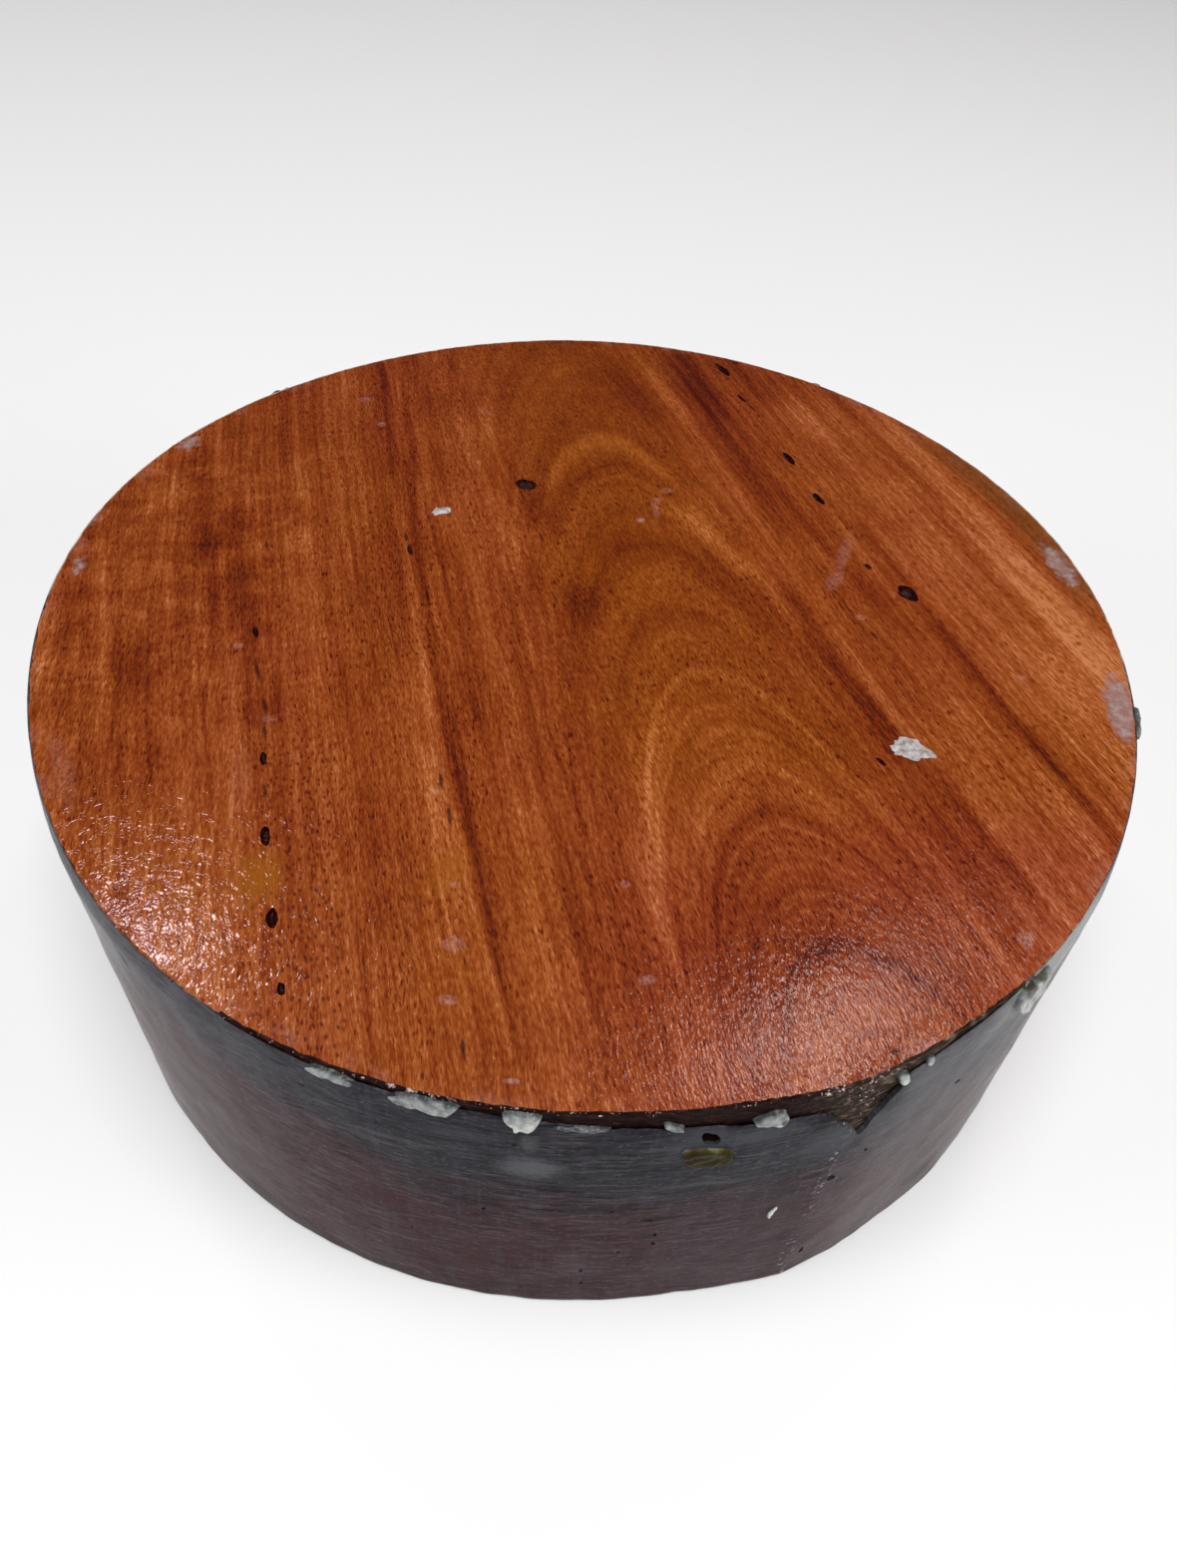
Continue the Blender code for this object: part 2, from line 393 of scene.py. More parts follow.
WOOD_TONES = (
    (0, (0.058, 0.006, 0.0004)), (0.25, (0.137, 0.021, 0.0008)), (0.5, (0.211, 0.044, 0.0012)),
    (0.75, (0.318, 0.088, 0.01)), (1, (0.5, 0.185, 0.052)),
)
RED_TONES = (
    (0, (0.062, 0.004, 0.001)), (0.25, (0.148, 0.016, 0.003)), (0.5, (0.226, 0.038, 0.008)),
    (0.75, (0.325, 0.077, 0.026)), (1, (0.49, 0.175, 0.085)),
)
GUM = (0.022, 0.003, 0.0025)
WAX_HAZE = (0.48, 0.28, 0.25)
AMBER_STAIN = (0.26, 0.075, 0.003)
GUM_DOT = (0.07, 0.006, 0.003)
ARRIS_SHADE = (0.045, 0.008, 0.005)
RIM_SHADE = (0.08, 0.038, 0.008)

# Streaks along the grain: x, y of the middle, half-width across the rings, half-length, darker (-)
# or lighter (+).
STREAKS = (
    (28, 62, 3.6, 34, -0.4), (20, 86, 3.4, 18, -0.34), (72, -8, 2.3, 26, -0.52),
    (50, -16, 1.8, 20, -0.54), (67, -46, 2.2, 18, -0.46), (24, 26, 1, 14, 0.38),
    (34, 12.5, 1, 13, 0.38), (45, -3.5, 1, 12, 0.36), (54, -17, 0.9, 9, 0.3),
    (5, 80, 1.8, 16, -0.24), (14, 77, 1.5, 14, 0.2), (90, 12, 5.6, 34, 0.44),
    (84.5, -33, 1.8, 16, -0.44), (58, 26, 2, 12, -0.34), (40, 6, 1.2, 8, -0.3),
    (52, 60, 3.4, 22, 0.2), (69, 62, 3.4, 24, 0.24), (64.5, 64, 0.8, 20, -0.26),
    (58, -38, 1.6, 22, -0.14), (38, 68, 1.6, 16, 0.12), (45, 26, 1.6, 20, -0.14),
    (50, 6, 1.2, 20, -0.16), (80, 20, 1, 26, -0.1), (82, -38, 1.6, 14, 0.14),
    (63, 34, 1.2, 18, 0.1), (-32, 0, 0.8, 80, -0.34), (-14, -62, 0.8, 36, -0.36),
    (-24, -45, 3.2, 34, 0.34), (-8, -52, 2, 30, 0.1), (12.5, -50, 1.4, 26, 0.22),
    (-79, 18, 2, 28, -0.32), (-50, 62, 0.7, 24, -0.24), (-56, 50, 1.4, 40, 0.14),
    (-44, 40, 0.8, 28, -0.22), (-13.8, 32, 1.2, 8, -0.36), (-17.5, 19, 1.2, 16, 0.14),
    (-60, -22, 1.2, 26, -0.18), (-3, 1, 1.4, 7, -0.22), (-22, -10, 3, 28, -0.1),
    (-68, 5, 1.2, 30, -0.12), (-90, -10, 2, 40, 0.1), (-40, 16, 0.8, 20, -0.2),
    (-73, 34, 1, 30, 0.12), (-36, 70, 1, 24, -0.14), (-30, 66, 1.6, 24, 0.08),
    (-46, -30, 1.4, 30, 0.1), (-38, -58, 1.2, 26, 0.12), (-66, -56, 1.2, 24, -0.1),
    (3, -74, 1.2, 24, -0.12), (-2, -80, 0.8, 20, 0.12), (22, -62, 1.6, 22, -0.1),
)
# Arches that stand out: x, y of the tip, half-width across the rings there, darker or lighter.
ARCHES = (
    (-4, 57, 0.34, 0.26), (-2, 66, 0.4, -0.16), (5, 81, 0.5, -0.14),
    (9, 24, 0.34, -0.16), (13, 13, 0.26, 0.1), (17, 3, 0.26, -0.08),
    (22, -13.5, 0.24, 0.18), (25, -20, 0.18, -0.12), (27, -27, 0.2, 0.12),
    (29.5, -33, 0.2, -0.1), (32, -39, 0.22, 0.06), (33.5, -45.5, 0.18, -0.18),
    (35, -48.5, 0.14, 0.2), (36, -52, 0.16, -0.16), (37.4, -56, 0.18, 0.18),
    (39, -60, 0.22, -0.1), (40.6, -64.5, 0.26, 0.12), (42.7, -71, 0.6, -0.34),
    (45.6, -80, 0.6, 0.14),
)
ARCH_REACH = 34.0

# Soft patches: (x, y), (half-length, half-width), heading, darker or lighter.
BLOTCHES = (
    ((45, 75), (9, 5), 110, 0.11), ((34, 86), (8, 4), 120, -0.13), ((-68, 0), (9, 5), 70, -0.13),
    ((-74, 18), (7, 4), 95, -0.08), ((-58, -33), (6, 4), 40, -0.12),
    ((-80, -24), (8, 3), 110, -0.09), ((-63, 34), (10, 5), 85, 0.08),
    ((-86, 2), (12, 3), 100, 0.07), ((40, -74), (30, 20), 30, -0.13),
    ((22, 96), (8, 4), 160, -0.14), ((66, 46), (9, 5), 120, 0.08), ((58, 8), (8, 4), 120, -0.1),
    ((-3, 2), (4, 2.2), 80, -0.05),
)

# Amber stains and breaths of wax: (x, y), (half-length, half-width), heading, strength.
STAINS = (
    ((-47.6, -67), (4.8, 3.4), 100, 0.72), ((-19, -63), (4.5, 3.2), 80, 0.45),
    ((-58, -72), (2.6, 2), 60, 0.4),
)
BREATHS = (
    ((11.2, 34.6), (2.8, 0.7), 100, 0.4), ((8.2, 30.4), (1, 0.8), 0, 0.6),
    ((11.4, 37.6), (1.6, 0.9), 60, 0.3), ((13.6, 41.6), (1.6, 0.9), 20, 0.35),
    ((50.2, 25), (6.4, 1.3), 74, 0.26), ((47.6, 16), (3.2, 1.4), 66, 0.34),
    ((-16, -76), (1.7, 1.4), 0, 0.5), ((-15.6, -85.6), (1.3, 0.8), 0, 0.6),
    ((12.8, -79.6), (1.4, 0.7), 10, 0.55), ((71, -66.8), (1.6, 1.2), 60, 0.6),
    ((-63.4, -16.6), (0.9, 0.7), 0, 0.6), ((-5, -97.3), (1.2, 0.4), 5, 0.7),
    ((-50.6, 57.6), (1, 0.8), 0, 0.5), ((-55.6, 67), (1.6, 1.2), 0, 0.35),
    ((80.6, -8), (0.8, 0.6), 0, 0.5), ((-28.4, 66), (2.4, 0.7), 150, 0.3),
    ((51.8, 5.4), (0.9, 0.8), 0, 0.5), ((-53.8, -34), (1.3, 0.8), 0, 0.3),
    ((-55, -48), (7, 1.8), 100, 0.08), ((-17.4, -65.4), (0.8, 0.6), 0, 0.4),
    ((9, -62.6), (0.7, 0.7), 0, 0.4), ((-84, -49), (8, 1.6), 118, 0.2),
    ((-23, -47), (0.9, 0.6), 0, 0.3), ((52, -87), (2.6, 1.4), 30, 0.5),
)

# Open gum pockets: x, y, length, width, depth, heading.
GUM_POCKETS = (
    (-16.5, 39.5, 4.6, 3.6, 1.4, -20), (40.4, 57.3, 5, 1.6, 1.1, -62),
    (46.1, 43.1, 4.2, 1.6, 1.1, -64), (61.9, 13.9, 5.2, 3.4, 1.5, -58),
    (54.7, 21.3, 2, 1, 0.6, -60), (-48.2, -59, 4, 1.6, 1.1, -76),
    (-43.5, -74.2, 3.6, 1.7, 1.1, -76), (-61.2, -12.6, 2.6, 1, 0.8, -70),
    (-52.4, -43, 3, 1.1, 0.8, -76), (-39.4, -86, 2.2, 1.2, 0.8, -74),
    (26.2, 92.5, 6.4, 1.7, 0.9, -58), (30.4, 80.5, 3.6, 0.9, 0.6, -58),
    (52, -32.2, 2.2, 0.9, 0.6, -50), (-37.2, 14.6, 3.2, 0.9, 0.6, -72),
    (-37.8, -95.4, 1.8, 0.9, 0.6, -72),
)
# Gum lines too fine to be hollow: x, y, length, width, heading.
GUM_LINES = (
    (-58.4, -22.5, 5.4, 0.7, -68), (-55, -31, 4.6, 0.7, -70), (-53.6, -37, 3.6, 0.6, -74),
    (-50.4, -50, 3, 0.6, -76), (-31.6, 1, 4, 0.6, -74), (-38.6, 18.6, 3.2, 0.6, -72),
    (-22.5, -44.5, 4.4, 0.6, -78), (-20, -52, 4.6, 0.6, -76), (32.6, 77, 3.4, 0.6, -60),
    (54, 0.4, 2.6, 0.6, -60), (-11.6, 22, 2.6, 0.6, -70), (29, 96.4, 2.4, 1, -20),
    (-12.4, -93, 3.2, 0.7, -78), (48.4, -88, 1.4, 1, 30), (-65.2, 12.4, 3.2, 0.6, -74),
)
# The knot hole: angle, depth, half-width, half-height, how far in it goes.
KNOT_HOLE = (283.2, 8.4, 1.5, 2.4, 5.5)


def beside_tips(x, y):
    """How far right of the line of the arches' tips a point lies."""
    return x - TIP_X + TIP_LEAN * y + TIP_BEND * y * y


def ring_value(x, y):
    """The growth ring's number at a point of the top face, in millimetres across the grain."""
    u = beside_tips(x, y)
    right = max(0, min(1, (u + SIDE_BLEND) / (2 * SIDE_BLEND)))
    right = right * right * (3 - 2 * right)
    round_ = LEFT_ROUND + (max(2, RIGHT_ROUND - RIGHT_WIDEN * y) - LEFT_ROUND) * right
    steep = LEFT_STEEP + (RIGHT_STEEP - LEFT_STEEP) * right
    return even_spacing(y + RING_START + u * u / (2 * round_) * (1 + steep * u * u / STEEP_FROM))


def even_spacing(rise):
    """Turns the rings' rise into a distance across them."""
    spread = STEEP_FROM / (2 * EVEN_STEEP)
    return sqrt((sqrt(1 + 4 * EVEN_ROUND * max(0, rise) / spread) - 1) * spread)


def wire_rings(w, x, y, z):
    """ring_value() as nodes, carried down into the slice."""
    u = w.add(x, -TIP_X, w.mul(y, TIP_LEAN), w.mul(y, y, TIP_BEND))
    right = w.step(u, -SIDE_BLEND, SIDE_BLEND)
    right_round = w.most(w.sub(RIGHT_ROUND, w.mul(y, RIGHT_WIDEN)), 2)
    round_ = w.blend(right, LEFT_ROUND, right_round)
    steep = w.blend(right, LEFT_STEEP, RIGHT_STEEP)
    squared = w.mul(u, u)
    rise = w.mul(w.div(squared, w.mul(round_, 2)), w.add(1, w.mul(squared, steep, 1 / STEEP_FROM)))
    sunk = w.mul(w.sub(z, FACE), RING_DIP)
    rise = w.most(w.add(rise, y, RING_START, sunk), 0)
    spread = STEEP_FROM / (2 * EVEN_STEEP)
    root = w.math("SQRT", w.add(1, w.mul(rise, 4 * EVEN_ROUND / spread)))
    return w.math("SQRT", w.mul(w.sub(root, 1), spread)), u


def wire_fan(w, x, y):
    """Distances across and along the fibres, in millimetres."""
    dx, dy = w.sub(x, FAN_X), w.sub(FAN_Y, y)
    across = w.mul(w.math("ARCTAN2", dx, dy), FAN_REACH)
    return across, w.length(dx, dy)


def centred(w, value, weight):
    """A noise's swing about its middle, times weight."""
    return w.mul(w.sub(value, 0.5), weight)


def wire_streaks(w, rings, beside, along):
    """The named dark and light streaks and arches, added up."""
    right_side = w.step(beside, -2, 2)
    left_side = w.sub(1, right_side)
    total = 0.0
    for x, y, half_width, half_length, tone in STREAKS:
        across = w.div(w.gap(rings, ring_value(x, y)), half_width)
        length = w.div(w.gap(along, hypot(x - FAN_X, FAN_Y - y)), half_length)
        mask = w.mul(w.step(across, 1.5, 0.2), w.step(length, 1.3, 0.4), tone)
        side = right_side if beside_tips(x, y) > 0 else left_side
        total = w.add(total, w.mul(mask, side))
    for x, y, half_width, tone in ARCHES:
        across = w.div(w.gap(rings, ring_value(x, y)), half_width)
        length = w.gap(along, hypot(x - FAN_X, FAN_Y - y))
        total = w.add(total, w.mul(w.step(across, 1.6, 0.2), w.step(length, ARCH_REACH, 8), tone))
    return total


def wire_blotches(w, x, y, ragged):
    """The soft dark and pale patches, added up."""
    total = 0.0
    for at, size, heading, tone in BLOTCHES:
        patch = w.spot(x, y, at, *size, heading, w.mul(ragged, 0.8), 0.8)
        total = w.add(total, w.mul(patch, tone))
    return total


def heartwood():
    """Red-brown wood under a thin, clear, slightly crinkled film of wax."""
    w = Wiring("heartwood_waxed")
    point, x, y, z = w.place_mm()
    rings, beside = wire_rings(w, x, y, z)
    across, along = wire_fan(w, x, y)
    flank = w.step(w.gap(beside, -3), 10, 30)
    on_top = w.step(z, FACE - 0.9, FACE - 0.3)

    # Rings, from broad bands to fine lines; each drifts a little along its length.
    ring_bend = centred(w, w.stretched(((x, 0.05), (y, 0.03), 4), 1), 1.6)
    ring_fray = centred(w, w.stretched(((across, 0.5), (along, 0.12), 8), 1), 0.5)
    ring_at = w.add(rings, ring_bend, ring_fray)
    bands = w.stretched(((ring_at, 0.16), (along, 0.006), 9), 1)
    lines = w.stretched(((ring_at, 0.6), (along, 0.01), 5), 1)
    fine_lines = w.stretched(((ring_at, 2), (along, 0.016), 1), 1)

    # Fibres: streaks a few tenths of a millimetre wide, long on the flanks and short in the arches.
    wave = centred(w, w.stretched(((across, 0.06), (along, 0.05), 2), 1), 2.2)
    bent = w.add(across, wave)
    coarse = w.stretched(((bent, 0.6), (along, 0.014), (z, 0.4)), 2)
    fibres = w.stretched(((bent, 1.7), (along, 0.06), (z, 1.2)), 2)
    hairs = w.stretched(((bent, 4.2), (along, 0.8), (z, 3)), 2)

    # Pores: short dark dashes, thicker in some rings than in others.
    dashes = w.stretched(((bent, 3.4), (along, 0.6), (z, 3.4)), 0)
    crowd = w.stretched(((ring_at, 0.4), (along, 0.02), 2), 1)
    pores = w.mul(w.step(dashes, 0.62, 0.74), w.step(crowd, 0.3, 0.62))

    # Curl: short ripples across the grain, at the left.
    ripple = w.stretched(((across, 0.1), (along, 0.17), 1), 3, 0.6, 0.6)
    curl_zone = w.mul(w.step(x, -45, -68), w.step(y, -60, -25), w.step(y, 70, 30))
    curl = w.mul(centred(w, ripple, 0.8), curl_zone)
    mottle = w.noise(point, 0.05, 3, 0.6)
    ragged = centred(w, w.noise(point, 0.7, 3), 1.1)

    tone = w.add(
        0.5,
        centred(w, bands, 0.4), centred(w, lines, 0.34), centred(w, fine_lines, 0.4),
        w.mul(centred(w, coarse, 0.36), w.blend(flank, 0.35, 1)),
        w.mul(centred(w, fibres, 0.52), w.blend(flank, 0.45, 1)),
        centred(w, hairs, 1.05), centred(w, mottle, 0.36), curl, w.mul(pores, -0.4),
        w.mul(wire_streaks(w, rings, beside, along), 0.62),
        # Broad steps, lighter to the right and at the front and darker at the back left: partly the
        # wood's own tone, partly painted light.
        w.mul(w.step(x, 40, 95), 0.15), w.mul(w.step(y, -20, -95), 0.06),
        w.mul(w.step(y, 30, 100), w.step(x, 60, 10), -0.11), wire_blotches(w, x, y, ragged),
    )
    front_right = w.mul(w.step(x, -8, 30), w.step(y, -30, -62))
    redness = w.add(
        w.mul(w.noise(point, 0.03, 2), 0.7), w.mul(flank, 0.35),
        w.mul(w.step(y, 10, 90), 0.1), w.mul(front_right, 0.65), -0.2,
    )
    colour = w.mix(w.most(redness, 0), w.ramp(tone, WOOD_TONES), w.ramp(tone, RED_TONES))

    # Fine gum lines, and a row of tiny gum dots beside the left-hand pockets.
    gum_mark = 0.0
    for gx, gy, length, width, heading in GUM_LINES:
        mark = w.spot(x, y, (gx, gy), length / 2, width / 2, heading, ragged, 0.5)
        gum_mark = w.most(gum_mark, mark)
    colour = w.mix(w.mul(gum_mark, 0.8), colour, GUM)
    row_x = w.add(x, 43, w.mul(w.add(y, 59), 0.25))
    row = w.mul(w.step(w.gap(row_x, 0), 7.5, 5), w.step(y, -26, -44))
    cells = w.vector(w.mul(row_x, 0.62), w.mul(y, 0.4), 0)
    dots = w.node("ShaderNodeTexVoronoi", feature="F1", voronoi_dimensions="2D")
    w.join(dots.inputs["Vector"], cells)
    w.join(dots.inputs["Scale"], 1)
    dot = w.mul(w.step(dots.outputs["Distance"], 0.21, 0.1), row)
    colour = w.mix(w.mul(dot, 0.72), colour, GUM_DOT)

    # Stains and breaths of wax on the face.
    for at, size, heading, share in STAINS:
        stain = w.mul(w.spot(x, y, at, *size, heading, ragged, 0.7), share)
        colour = w.mix(stain, colour, AMBER_STAIN)
    haze = 0.0
    for at, size, heading, share in BREATHS:
        haze = w.most(haze, w.mul(w.spot(x, y, at, *size, heading, ragged), share))
    # A cloudy band along the very rim, broken up.
    from_axis = w.length(x, y)
    rim_breaks = w.noise(point, 0.14, 4, 0.6)
    rim_haze = w.mul(w.step(from_axis, 98, 101.4), w.step(rim_breaks, 0.5, 0.64), 0.3)
    breath = w.blend(w.step(w.noise(point, 1.6, 3, 0.6), 0.4, 0.62), 0.18, 0.95)
    haze = w.mul(w.most(haze, rim_haze), breath, on_top, 0.7)
    colour = w.mix(haze, colour, WAX_HAZE)

    # Painted shade: the arris is painted dark red-brown, and the rim at the back right a dark
    # green-brown.
    arris = w.step(w.sub(z, w.mul(ragged, 0.1)), FACE - 0.05, FACE - 0.28)
    arris = w.mul(arris, w.step(from_axis, 98.2, 99.2))
    colour = w.mix(w.mul(arris, 0.75), colour, ARRIS_SHADE)
    # Painted shade along the rim at the back right.
    turn = w.turn(x, y)
    shaded = w.mul(w.step(turn, 4, 16), w.step(turn, 52, 36))
    shaded = w.mul(shaded, w.step(w.add(from_axis, w.mul(ragged, 1.2)), 94.5, 98.5), on_top, 0.42)
    colour = w.mix(shaded, colour, RIM_SHADE)

    # Gum fills what lies below the face.
    inside = w.step(from_axis, 99, 97.5)
    gum = w.mul(w.step(z, FACE - 0.08, FACE - 0.35), inside)
    colour = w.mix(gum, colour, GUM)

    # The film: smooth in the middle of the face, crinkled along the fibres, dull where hazy.
    dent = w.stretched(((across, 2.8), (along, 0.8), z), 2, twist=0.3)
    swell = w.noise(point, 0.12, 2)
    fold = w.gap(w.noise(point, 0.5, 2, 0.5, 1), 0.5)
    folded = w.mul(w.step(x, -20, -45), w.step(y, -35, -62))
    relief = w.add(
        w.mul(dent, w.blend(folded, 0.058, 0.012)), w.mul(fold, w.blend(folded, 0.022, 0.11)),
        w.mul(swell, 0.07),
    )
    normal = w.bump(relief)
    shine = w.noise(point, 0.09, 2)
    w.set(
        base_color=colour,
        roughness=w.add(0.5, centred(w, shine, 0.25), w.mul(haze, 0.15)),
        ior=1.45, specular_ior_level=0.08, normal=normal,
        coat_weight=0.9, coat_roughness=0.065, coat_ior=1.42, coat_normal=normal,
    )
    return w.material


def bare_wall():
    """Sawn wall where the coat has come away: near black under the rim, rough brown in the notch."""
    w = Wiring("bare_sawn_wall")
    point, x, y, z = w.place_mm()
    turn = w.turn(x, y)
    notch = w.step(turn, -70.5, -65)
    grain = w.stretched(((x, 0.5), (y, 0.5), (z, 1.6)), 4, 0.6)
    saw = w.stretched(((turn, 2.618), 0, (z, 0.25)), 3, 0.6)
    dark = w.ramp(grain, ((0.3, (0.002, 0.001, 0.001)), (0.52, (0.014, 0.0055, 0.0045)),
                          (0.7, (0.05, 0.017, 0.012))))
    brown = w.ramp(grain, ((0.3, (0.006, 0.0035, 0.0025)), (0.52, (0.034, 0.019, 0.012)),
                           (0.65, (0.19, 0.135, 0.105))))
    colour = w.mix(notch, dark, brown)
    relief = w.add(w.mul(grain, 0.35), w.mul(saw, 0.3))
    w.set(
        base_color=colour, roughness=w.add(0.62, centred(w, grain, 0.3)), ior=1.45,
        specular_ior_level=0.04, normal=w.bump(relief),
    )
    return w.material


def dark_gum():
    """Hard maroon gum that lines the pockets in the face."""
    w = Wiring("dark_gum")
    point, x, y, z = w.place_mm()
    cloud = w.noise(point, 1.3, 3, 0.6)
    colour = w.ramp(cloud, (
        (0.35, (0.006, 0.0008, 0.0006)), (0.55, (0.024, 0.003, 0.002)), (0.72, (0.07, 0.01, 0.006)),
    ))
    w.set(
        base_color=colour, roughness=w.add(0.34, centred(w, cloud, 0.3)), ior=1.5,
        specular_ior_level=0.1, normal=w.bump(w.mul(cloud, 0.35)),
    )
    return w.material


# ---- the waxes ----

# The coat's colours, thick and thin, plain and milky, and those of its streaks and edges. The milky ones
# and the crown's also stand for painted sheen.
THICK_WAX, THIN_WAX = (0.025, 0.0258, 0.032), (0.045, 0.0165, 0.019)
THICK_MILK_SHEEN, THIN_MILK_SHEEN = (0.185, 0.18, 0.194), (0.17, 0.138, 0.143)
CROWN_MILK_SHEEN = (0.46, 0.47, 0.45)
LIP = (0.62, 0.56, 0.44)
CREST = (0.36, 0.32, 0.34)
FLECK = (0.26, 0.25, 0.27)

# Paler and darker places in the coat: angle, depth, half-width, half-height, colour, share.
MILK = (0.15, 0.155, 0.165)
GREY = (0.085, 0.09, 0.102)
BARK = (0.005, 0.0025, 0.003)
PLUM = (0.055, 0.02, 0.023)
SOIL = (0.028, 0.02, 0.012)
COAT_MARKS = (
    (269, 17.2, 4.2, 3.2, MILK, 0.55), (268.8, 9.4, 1.2, 2.6, MILK, 0.3),
    (282.6, 10, 4.6, 5, GREY, 0.4), (287.5, 9, 5, 2.2, GREY, 0.55),
    (294.5, 17, 5, 5, GREY, 0.45), (275, 58, 5, 4, GREY, 0.1),
    (262, 26, 9, 2, PLUM, 0.3), (256, 40, 9, 5, PLUM, 0.4),
    (276, 31.5, 5, 0.9, BARK, 0.6), (281, 36.8, 4.2, 1, BARK, 0.65),
    (286, 41.2, 4, 0.7, BARK, 0.45), (279.8, 45, 2.2, 0.8, BARK, 0.45),
    (291.6, 30, 2.2, 5, BARK, 0.3), (263, 9, 6, 1.4, GREY, 0.3),
    (299.3, 9, 1.6, 6, BARK, 0.6), (292.6, 9.6, 2.4, 1.8, BARK, 0.45),
    (302, 12, 2, 7, GREY, 0.4), (297.2, 20.5, 1.4, 2.6, BARK, 0.5),
    (313, 65, 4.6, 4.2, SOIL, 0.95), (265.5, 33, 12, 1.2, BARK, 0.25),
    (271, 24, 10, 0.9, BARK, 0.22), (258.5, 15, 7, 0.8, MILK, 0.18),
    (284, 24.5, 8, 0.8, MILK, 0.2), (268, 50, 9, 1.6, PLUM, 0.35),
    (288, 52, 12, 26, GREY, 0.16), (262, 60, 9, 6, PLUM, 0.35),
    (240, 70, 9, 1.6, SOIL, 0.5), (252, 74, 14, 1.4, SOIL, 0.55),
)


def coat_wax():
    """Grey translucent wax over dark wood: bluish where it is thick, purple-brown where it thins."""
    w = Wiring("side_wax")
    point, x, y, z = w.place_mm()
    depth = w.sub(FACE, z)
    turn = w.turn(x, y)
    blotch = w.noise(point, 0.045, 4, 0.62)
    cloud = w.noise(point, 0.018, 2)
    grain = w.stretched(((x, 0.1), (y, 0.1), (z, 0.9)), 4, 0.6)
    fuzz = w.noise(point, 1.1, 3, 0.6)
    saw = w.stretched(((x, 0.69), (y, 0.69), (z, 0.03)), 3, 0.6)
    left_end = w.step(turn, -178, -156)

    # Thick and bluish above, thinning to purple-brown below and towards the left.
    fall = w.add(depth, centred(w, blotch, 44), centred(w, cloud, 30))
    fall = w.add(fall, w.mul(w.step(turn, -92, -118), left_end, 12))
    thin = w.step(fall, 16, 42)
    colour = w.mix(thin, THICK_WAX, THIN_WAX)
    patchy = w.noise(point, 0.16, 2)
    streaky = w.blend(w.step(patchy, 0.36, 0.62), 0.35, 1.1)
    tangle = w.stretched(((x, 0.34), (y, 0.34), (z, 2.9)), 3, 0.65)
    for pattern, low, high, share, tint in (
        (grain, 0.49, 0.7, w.mul(streaky, 0.52), (0.105, 0.08, 0.087)),
        (tangle, 0.51, 0.66, w.mul(streaky, 0.5), (0.1, 0.091, 0.103)),
        (grain, 0.46, 0.3, 0.72, (0.01, 0.006, 0.007)),
        (tangle, 0.47, 0.33, 0.68, (0.009, 0.006, 0.007)),
        (fuzz, 0.54, 0.7, 0.3, (0.125, 0.118, 0.13)),
        (saw, 0.5, 0.7, 0.18, (0.072, 0.078, 0.094)),
    ):
        colour = w.mix(w.mul(w.step(pattern, low, high), share), colour, tint)

    # Milkier wax in mottled places all round, and a painted sheen of pale wax to the right of the ridge
    # and towards the left.
    drift = w.add(turn, centred(w, blotch, 40))
    milk_and_sheen = w.add(
        w.mul(w.step(turn, -64.5, -57), w.step(drift, -8, -34), 0.42),
        w.mul(w.step(drift, -98, -136), w.step(turn, -178, -150), 0.42),
        w.mul(w.step(blotch, 0.52, 0.7), 0.18),
    )
    milk = w.mix(thin, THICK_MILK_SHEEN, THIN_MILK_SHEEN)
    colour = w.mix(w.mul(milk_and_sheen, w.blend(w.step(tangle, 0.3, 0.66), 0.55, 1)), colour, milk)
    # A pale crown at the upper right: milky wax with a painted sheen.
    crown_milk_sheen = w.mul(w.step(turn, -54, -42), w.step(turn, -29, -36))
    crown_milk_sheen = w.mul(crown_milk_sheen, w.step(w.add(depth, centred(w, blotch, 20)), 16, 4), 0.55)
    colour = w.mix(crown_milk_sheen, colour, CROWN_MILK_SHEEN)
    for angle, at_depth, half_width, half_height, tint, share in COAT_MARKS:
        over = w.mul(w.sub(turn, angle - 360), radians(RADIUS / MM) / half_width)
        away = w.length(over, w.div(w.sub(depth, at_depth), half_height))
        patch = w.step(w.add(away, centred(w, grain, 1.5), centred(w, fuzz, 1.1)), 1.5, 0.4)
        colour = w.mix(w.mul(patch, share), colour, tint)
    flecks = w.step(w.noise(point, 0.8, 2), 0.74, 0.8)
    colour = w.mix(w.mul(flecks, 0.3), colour, FLECK)
    # A line of small white flecks runs down the ridge.
    crest = w.step(w.gap(turn, RIDGE_ANGLE - 360), 1.15, 0.23)
    crest_breaks = w.step(w.noise(point, 0.9, 3, 0.6), 0.58, 0.68)
    colour = w.mix(w.mul(crest, crest_breaks, 0.6), colour, CREST)

    # The upper lip at the back stands out as a pale edge.
    lip = w.mul(w.step(w.add(depth, centred(w, fuzz, 1.6)), 1.1, 0.4), w.step(y, -12, 6))
    lip_breaks = w.blend(w.step(patchy, 0.4, 0.56), 0.35, 0.95)
    colour = w.mix(w.mul(lip, lip_breaks), colour, LIP)

    ripple = w.stretched(((x, 1.1), (y, 1.1), (z, 0.05)), 2)
    swell = w.noise(point, 0.1, 3)
    relief = w.add(
        w.mul(ripple, 0.03), w.mul(swell, 0.22), w.mul(grain, 0.09), w.mul(tangle, 0.05),
        w.mul(fuzz, 0.06),
    )
    w.set(
        base_color=colour,
        roughness=w.add(0.2, centred(w, blotch, 0.22), centred(w, grain, 0.12)),
        ior=1.43, specular_ior_level=0.009, normal=w.bump(relief),
    )
    return w.material


